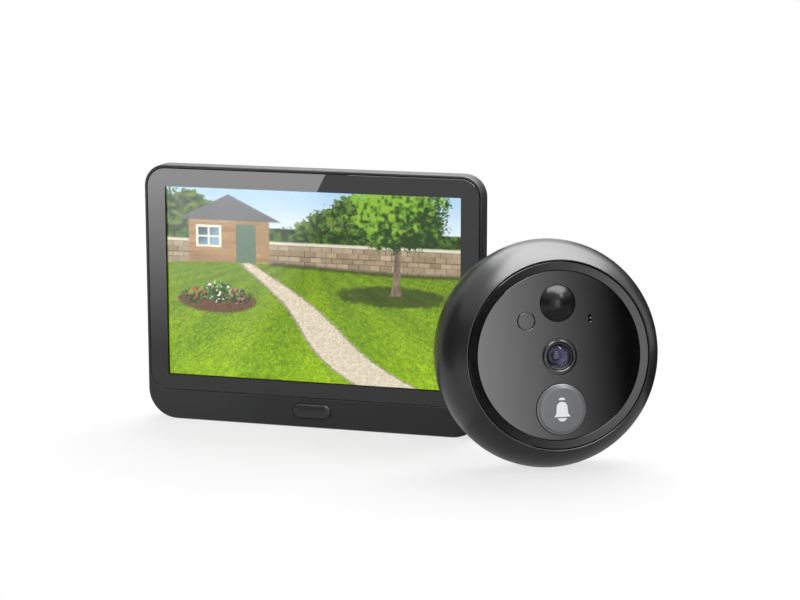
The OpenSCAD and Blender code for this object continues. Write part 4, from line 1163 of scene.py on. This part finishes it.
def cross_screw(x, y, seat, reach):
    work = bmesh.new()
    top = seat - screw_head_high
    sides = turned(work, [
        (screw_radius, seat + reach), (screw_radius, seat), (screw_head, seat), (screw_head, top + screw_rim),
        (screw_head - screw_rim, top),
    ], closed=False, steps=36, middle=(x, y))
    recess = [ring(work, cross_outline(x, y, 1), top)]
    recess.append(ring(work, cross_outline(x, y, cross_foot), top + cross_depth))
    wall_between(work, recess)
    flat_face(work, sides[0])
    flat_face(work, recess[1])
    flat_face(work, sides[-1], [recess[0]])
    return work


copies_on_grid = copies_on_grid_tree()
copies_on_ring = copies_on_ring_tree()
case_screws = make_piece(
    "case_screw_pair", cross_screw(0, case_screw_places[0][1], well_seat, case_screw_reach),
    monitor_place, zinc_steel, copies_on_grid,
    **{"Columns": 2, "Rows": 1, "Column Pitch": 68.0, "Row Pitch": 0.0, "Finish": zinc_steel},
)
settle(case_screws, "root", "steel", "case_screws")
post_ring = 25
post_angles = [math.radians(angle) for angle in (90, 210, 330)]
back_screws = make_piece(
    "back_screw_trio", cross_screw(post_ring, 0, housing_back + screw_head_high, back_screw_reach),
    face_place, zinc_steel, copies_on_ring,
    **{"Count": len(post_angles), "Start": post_angles[0], "Step": post_angles[1] - post_angles[0],
       "Finish": zinc_steel},
)
settle(back_screws, "root", "steel", "back_screws")

# Rubber pads: four domed discs pressed into the seats on the monitor's back.
# They keep the monitor off the door's paint.
pad_thick = 1
rubber = finish_of("pad_rubber", (0.012, 0.012, 0.012), 0.75, 1800)
pad_front = -case_depth + pad_seat
pad_back = pad_front - pad_thick
pad_dish = 0.12
work = bmesh.new()
pad = turned(work, [
    (pad_radius, pad_front), (pad_radius, pad_back + 0.25), (pad_radius - 0.1, pad_back + 0.1),
    (pad_radius - 0.3, pad_back), (pad_radius - 0.9, pad_back), (pad_radius - 1.1, pad_back + pad_dish),
    (0.3, pad_back + pad_dish),
], closed=False, steps=48, middle=(0, (pad_places[0][1] + pad_places[1][1]) / 2))
flat_face(work, pad[0])
flat_face(work, pad[-1])
rear_pads = make_piece(
    "rear_pad_set", work, monitor_place, rubber, copies_on_grid,
    **{"Columns": 2, "Rows": 2, "Column Pitch": 79.8, "Row Pitch": 59.0, "Finish": rubber},
)
settle(rear_pads, "root", "rubber", "rear_pads")

# Contacts of the camera cable socket: six gilt pins in a row in its mouth.
# They are pressed into the socket's moulding from behind.
contact_gold = finish_of("contact_gold", (0.74, 0.55, 0.22), 0.25, 2500, Metallic=1)
link_middle = (link_low.z + link_high.z) / 2 / mm
contact_count = 6
contact_pitch = 1.3
contact_half = 0.3
work = bmesh.new()
pin = [ring(work, box_outline(0, link_middle, contact_half - inset, contact_half - inset, 0.05), z)
       for inset, z in ((0, 4 - case_depth), (0, 1.2 - case_depth), (0.15, 0.9 - case_depth))]
wall_between(work, pin)
flat_face(work, pin[0])
flat_face(work, pin[-1])
contacts = make_piece(
    "link_contacts", work, monitor_place, contact_gold, copies_on_grid,
    **{"Columns": contact_count, "Rows": 1, "Column Pitch": contact_pitch, "Row Pitch": 0.0,
       "Finish": contact_gold},
)
settle(contacts, "root", "connector")

# Back plate of the camera: a bevelled disc, counterbored for its screws and bored for the stud.
# It is moulded in black plastic and closes the housing from behind.
stud_radius = 5.8
plate_thick = 2.2
plate_bevel = 0.3
plate_radius = housing_bore - face_gap
plate_plastic = finish_of("plate_plastic", (0.0165, 0.0168, 0.0176), 0.5, 3200)
plate_front = housing_back + plate_thick
post_places = [(post_ring * math.cos(a), post_ring * math.sin(a)) for a in post_angles]
work = bmesh.new()
edge = turned(work, [(plate_radius, plate_front), (plate_radius, housing_back + plate_bevel),
                     (plate_radius - plate_bevel, housing_back)], closed=False, steps=192)
bore = turned(work, [(stud_radius + face_gap, z) for z in (plate_front, housing_back)], closed=False,
              steps=96)
fronts = [bore[0]]
backs = [bore[1]]
for x, y in post_places:
    screw_hole = turned(work, [
        (screw_radius + face_gap, plate_front), (screw_radius + face_gap, housing_back + screw_head_high),
        (screw_head + face_gap, housing_back + screw_head_high), (screw_head + face_gap, housing_back),
    ], closed=False, steps=36, middle=(x, y))
    fronts.append(screw_hole[0])
    backs.append(screw_hole[-1])
flat_face(work, edge[0], fronts)
flat_face(work, edge[-1], backs)
back_plate = make_piece("camera_back_plate", work, face_place, plate_plastic)
settle(back_plate, "root", "housing_paint", "back_plate")

# Door stud: a turned hollow stud of nickelled alloy with a flange and a coarse thread.
# A nut inside holds it to the back plate, and the cable runs through its bore.
stud_bore = 4.2
stud_flange = 9
stud_flange_back = housing_back - 1.5
stud_front = plate_front + 2.2
stud_back = stud_flange_back - 14
thread_pitch = 1.25
thread_turns = 10
thread_ridge = 0.42
thread_lead = 0.9
flange_bevel = 0.25
stud_bevel = 0.4
stud_alloy = finish_of("stud_alloy", (0.50, 0.50, 0.51), 0.3, 2200, Metallic=1)


def thread_tree():
    number = "NodeSocketFloat"
    tree, given, made = new_group(
        "screw_thread", "GeometryNodeTree",
        {"Geometry": "NodeSocketGeometry", "Pitch": number, "Turns": number, "Core Radius": number,
         "Ridge": number, "Foot": number, "Finish": "NodeSocketMaterial"},
        {"Geometry": "NodeSocketGeometry"},
    )
    spiral = add(tree, "GeometryNodeCurveSpiral")
    core = given.outputs["Core Radius"]
    feed(tree, spiral, Resolution=60, Rotations=given.outputs["Turns"], Start_Radius=core, End_Radius=core,
         Height=math_of(tree, "MULTIPLY", given.outputs["Pitch"], given.outputs["Turns"]))
    upright = add(tree, "GeometryNodeSetCurveNormal", mode="Z_UP")
    feed(tree, upright, Curve=spiral.outputs["Curve"])
    section = add(tree, "GeometryNodeCurvePrimitiveCircle")
    feed(tree, section, Resolution=4, Radius=given.outputs["Ridge"])
    ridge = add(tree, "GeometryNodeCurveToMesh")
    feed(tree, ridge, Curve=upright.outputs["Curve"], Profile_Curve=section.outputs["Curve"], Fill_Caps=True)
    shift = add(tree, "ShaderNodeCombineXYZ")
    feed(tree, shift, Z=given.outputs["Foot"])
    moved = add(tree, "GeometryNodeTransform")
    feed(tree, moved, Geometry=ridge.outputs["Mesh"], Translation=shift.outputs["Vector"])
    joined = add(tree, "GeometryNodeJoinGeometry")
    feed(tree, joined, Geometry=given.outputs["Geometry"])
    feed(tree, joined, Geometry=moved.outputs["Geometry"])
    return dress(tree, given, made, joined.outputs["Geometry"])


stud_core = stud_radius - thread_ridge
work = bmesh.new()
turned(work, [
    (stud_bore, stud_front), (stud_radius, stud_front), (stud_radius, housing_back),
    (stud_flange, housing_back), (stud_flange, stud_flange_back + flange_bevel),
    (stud_flange - flange_bevel, stud_flange_back), (stud_core, stud_flange_back),
    (stud_core, stud_back + stud_bevel), (stud_core - stud_bevel, stud_back), (stud_bore, stud_back),
], closed=True, steps=96)
door_stud = make_piece(
    "door_stud_threaded", work, face_place, stud_alloy, thread_tree(),
    **{"Pitch": thread_pitch, "Turns": float(thread_turns), "Core Radius": stud_core, "Ridge": thread_ridge,
       "Foot": stud_back + thread_lead, "Finish": stud_alloy},
)
settle(door_stud, "root", "stud_alloy", "door_stud")

# Door gasket: a flat rubber ring with two sealing beads that is pressed against the door.
# It lies round the stud's flange on the back plate.
gasket_thick = 1.5
gasket_inner = 13
gasket_outer = 21
bead = 0.5
bead_rings = (19.5, 15)
gasket_back = housing_back - gasket_thick
work = bmesh.new()
gasket_profile = [(gasket_inner, housing_back), (gasket_outer, housing_back)]
gasket_profile.append((gasket_outer, gasket_back + bead))
for middle in bead_rings:
    gasket_profile.append((middle + bead, gasket_back + bead))
    gasket_profile += arc(middle, gasket_back + bead, bead, 0, -math.pi, 8)[1:-1]
    gasket_profile.append((middle - bead, gasket_back + bead))
gasket_profile.append((gasket_inner, gasket_back + bead))
turned(work, gasket_profile, closed=True, steps=144)
door_gasket = make_piece("door_gasket_ring", work, face_place, rubber)
settle(door_gasket, "root", "rubber", "door_gasket")

# Inner pieces whose plain solids are right as they are: boards, sockets, switches and motors,
# each in the finish of its own material.
finishes = {
    "adhesive_black": ((0.004, 0.004, 0.004), 0.8, 2000, {}),
    "tinned_steel": ((0.56, 0.57, 0.58), 0.34, 1500, {"Metallic": 1}),
    "board_green": ((0.012, 0.075, 0.035), 0.42, 900, {}),
    "inner_steel": ((0.46, 0.47, 0.48), 0.3, 2500, {"Metallic": 1}),
    "pouch_foil": ((0.42, 0.44, 0.47), 0.38, 600, {"Metallic": 0.8}),
    "black_nylon": ((0.013, 0.013, 0.014), 0.5, 2600, {}),
    "switch_ivory": ((0.58, 0.57, 0.52), 0.45, 2600, {}),
    "connector_cream": ((0.72, 0.68, 0.56), 0.42, 2600, {}),
    "copper_foil": ((0.60, 0.33, 0.12), 0.3, 1800, {"Metallic": 1}),
    "rubber_black": ((0.012, 0.012, 0.012), 0.75, 1800, {}),
    "lamp_resin": ((0.05, 0.02, 0.07), 0.12, 600, {}),
    "filter_red": ((0.25, 0.03, 0.05), 0.15, 600, {}),
    "sensor_silicon": ((0.06, 0.08, 0.13), 0.2, 1200, {"Metallic": 0.4}),
    "brass": ((0.62, 0.46, 0.18), 0.28, 2200, {"Metallic": 1}),
}
worn_by = {
    "adhesive_black": ["glass_tape", "face_gasket"],
    "tinned_steel": ["backlight_tray", "shield_can", "pir_sensor", "microphone", "usb_socket"],
    "board_green": ["main_board", "sensor_board", "camera_board"],
    "inner_steel": ["board_screws", "camera_board_screws", "filter_motor"],
    "pouch_foil": ["battery_pack"],
    "black_nylon": ["key_plunger", "reset_key", "bell_plunger", "speaker", "chime_speaker", "lens_holder",
                    "camera_chip"],
    "switch_ivory": ["key_switch", "reset_switch", "bell_switch"],
    "connector_cream": ["link_socket", "plug_seat"],
    "copper_foil": ["antenna"],
    "rubber_black": ["mic_boot"],
    "lamp_resin": ["ir_lamp"],
    "filter_red": ["filter_blade"],
    "sensor_silicon": ["image_sensor"],
    "brass": ["sensor_spacers", "stud_nut"],
}
for name, (colour, roughness, grain, values) in finishes.items():
    material = finish_of(name, colour, roughness, grain, **values)
    for node in worn_by[name]:
        mesh = frame["nodes"][node].data
        mesh.materials.clear()
        mesh.materials.append(material)

# Studio: a white floor that fades into a white surround, a large softbox overhead, a weaker one
# from the front left, and cards that only show as reflections in the glossy faces.
floor_half = 4


def studio_floor():
    material = bpy.data.materials.new("studio_floor")
    material.use_nodes = True
    tree = material.node_tree
    shader = tree.nodes["Principled BSDF"]
    shader.inputs["Base Color"].default_value = (0.9, 0.9, 0.9, 1)
    shader.inputs["Roughness"].default_value = 0.9
    shader.inputs["Specular IOR Level"].default_value = 0
    place = add(tree, "ShaderNodeTexCoord").outputs["Object"]
    length = add(tree, "ShaderNodeVectorMath", operation="LENGTH")
    tree.links.new(place, length.inputs[0])
    fade = add(tree, "ShaderNodeMapRange", interpolation_type="SMOOTHSTEP")
    feed(tree, fade, Value=length.outputs["Value"], From_Min=0.12, From_Max=0.45, To_Min=0.72, To_Max=1)
    path = add(tree, "ShaderNodeLightPath")
    seen = math_of(tree, "MAXIMUM", path.outputs["Is Camera Ray"], path.outputs["Is Glossy Ray"])
    seen = math_of(tree, "MAXIMUM", seen, path.outputs["Is Transmission Ray"])
    white = add(tree, "ShaderNodeEmission")
    feed(tree, white, Color=(1, 1, 1, 1), Strength=1)
    mix = add(tree, "ShaderNodeMixShader")
    tree.links.new(math_of(tree, "MULTIPLY", fade.outputs["Result"], seen), mix.inputs["Fac"])
    tree.links.new(shader.outputs["BSDF"], mix.inputs[1])
    tree.links.new(white.outputs["Emission"], mix.inputs[2])
    tree.links.new(mix.outputs["Shader"], tree.nodes["Material Output"].inputs["Surface"])
    return material


floor_mesh = bpy.data.meshes.new("studio_floor")
floor_mesh.from_pydata([(-floor_half, -floor_half, 0), (floor_half, -floor_half, 0),
                        (floor_half, floor_half, 0), (-floor_half, floor_half, 0)], [], [(0, 1, 2, 3)])
floor_mesh.materials.append(studio_floor())
floor = show("studio_floor", floor_mesh)
floor.location.z = -0.0002

world = bpy.data.worlds.new("studio_surround")
world.use_nodes = True
bpy.context.scene.world = world
sky = world.node_tree
path = add(sky, "ShaderNodeLightPath")
seen = math_of(sky, "MAXIMUM", path.outputs["Is Camera Ray"], path.outputs["Is Glossy Ray"])
seen = math_of(sky, "MAXIMUM", seen, path.outputs["Is Transmission Ray"])
strength = add(sky, "ShaderNodeMapRange")
feed(sky, strength, Value=seen, To_Min=0.35, To_Max=1)
sky.links.new(strength.outputs["Result"], sky.nodes["Background"].inputs["Strength"])
sky.nodes["Background"].inputs["Color"].default_value = (1, 1, 1, 1)


def softbox(name, place, aim, size, power):
    data = bpy.data.lights.new(name, "AREA")
    data.shape = "RECTANGLE"
    data.size, data.size_y = size
    data.energy = power
    lamp = bpy.data.objects.new(name, data)
    bpy.context.scene.collection.objects.link(lamp)
    lamp.location = place
    lamp.rotation_euler = (Vector(aim) - Vector(place)).to_track_quat("-Z", "Y").to_euler()
    return lamp


softbox("overhead_softbox", (0.03, 0.33, 0.56), (0.04, -0.02, 0.03), (0.75, 0.5), 5.2)
front_fill = softbox("front_fill", (-0.5, -0.9, 0.7), (0.03, -0.02, 0.03), (0.5, 0.5), 3)
front_fill.visible_glossy = False
softbox("right_spark", (0.395, -0.187, 0.323), (0.083, -0.041, 0.034), (0.06, 0.06), 0.3)


def card(name, corners, dark, bright, direction=(0, 0, 1), start=0.0, end=1.0, bend=1.0):
    mesh = bpy.data.meshes.new(name)
    mesh.from_pydata(corners, [], [range(len(corners))])
    material = bpy.data.materials.new(name)
    material.use_nodes = True
    tree = material.node_tree
    tree.nodes.remove(tree.nodes["Principled BSDF"])
    place = add(tree, "ShaderNodeTexCoord").outputs["Object"]
    along = add(tree, "ShaderNodeVectorMath", operation="DOT_PRODUCT")
    tree.links.new(place, along.inputs[0])
    along.inputs[1].default_value = direction
    share = add(tree, "ShaderNodeMapRange")
    feed(tree, share, Value=along.outputs["Value"], From_Min=start, From_Max=end)
    curve = math_of(tree, "POWER", share.outputs["Result"], bend)
    level = add(tree, "ShaderNodeMapRange")
    feed(tree, level, Value=curve, To_Min=dark, To_Max=bright)
    glow = add(tree, "ShaderNodeEmission")
    feed(tree, glow, Color=(1, 1, 1, 1), Strength=level.outputs["Result"])
    tree.links.new(glow.outputs["Emission"], tree.nodes["Material Output"].inputs["Surface"])
    mesh.materials.append(material)
    piece = show(name, mesh)
    piece.visible_camera = False
    piece.visible_diffuse = False
    piece.visible_shadow = False


def standing(first, second, low, high):
    return [(*first, low), (*second, low), (*second, high), (*first, high)]


# White card in front of the monitor, cut at a slant, that fades towards the floor
card("monitor_glare", [(-0.105, -0.11, 0.0005), (-0.0598, -0.11, 0.0005), (-0.0220, -0.11, 0.075),
                       (-0.105, -0.11, 0.075)],
     0.4, 6.3, start=-0.0125, end=0.0594, bend=1.6)
# Black flag edge-on to the monitor that keeps the card out of the camera's side
card("glare_flag", [(-0.0598, -0.11, 0.0005), (-0.0220, -0.11, 0.075), (0.0034, -0.03, 0.085),
                    (-0.0303, -0.03, 0.0187)], 0, 0)
# Card to the right front, white at its left and black at its right, seen in the camera's face
card("face_gradient", standing((0.2101, -0.3327), (0.3691, -0.1805), 0.0005, 0.2),
     0.0, 4.3, (0.7225, 0.6914, 0), 0.0800, -0.0016, 1.15)
# Bright sheet overhead that lies as a broad sheen on the camera's shoulder
card("top_sheen", [(-0.12, -0.24, 0.5), (0.5, -0.24, 0.5), (0.5, 0.42, 0.5), (-0.12, 0.42, 0.5)],
     5, 13, (0, 1, 0), 0.42, 0.02)
# Dark flags left and right of the camera and behind the monitor, and dark sheets on the floor that darken it
# in reflections as painted shade
card("right_flag", standing((0.3691, -0.1805), (0.38, 0.15), 0.0005, 0.16), 0, 0)
card("left_flag", standing((-0.75, -0.4), (0.05, -0.85), 0.0005, 0.5), 0.15, 0.15)
card("rear_flag", standing((0.03, 0.45), (0.45, 0.45), 0.0005, 0.25), 0, 0)
# Sheets on the floor, darker than it and seen only in reflections: painted shade of the floor near the
# pieces.
floor_shade_sheets = (("rear_shade_sheet", (0.04, 0.34), (0.012, 0.45), 0), ("front_shade_sheet", (0.045, 0.3), (-0.14, 0.012), 0.42),
         ("middle_shade_sheet", (-0.11, 0.045), (-0.12, -0.0105), 0.72))
for name, (left, right), (front, back), level in floor_shade_sheets:
    card(name, [(left, front, 0.0003), (right, front, 0.0003), (right, back, 0.0003), (left, back, 0.0003)],
         level, level)
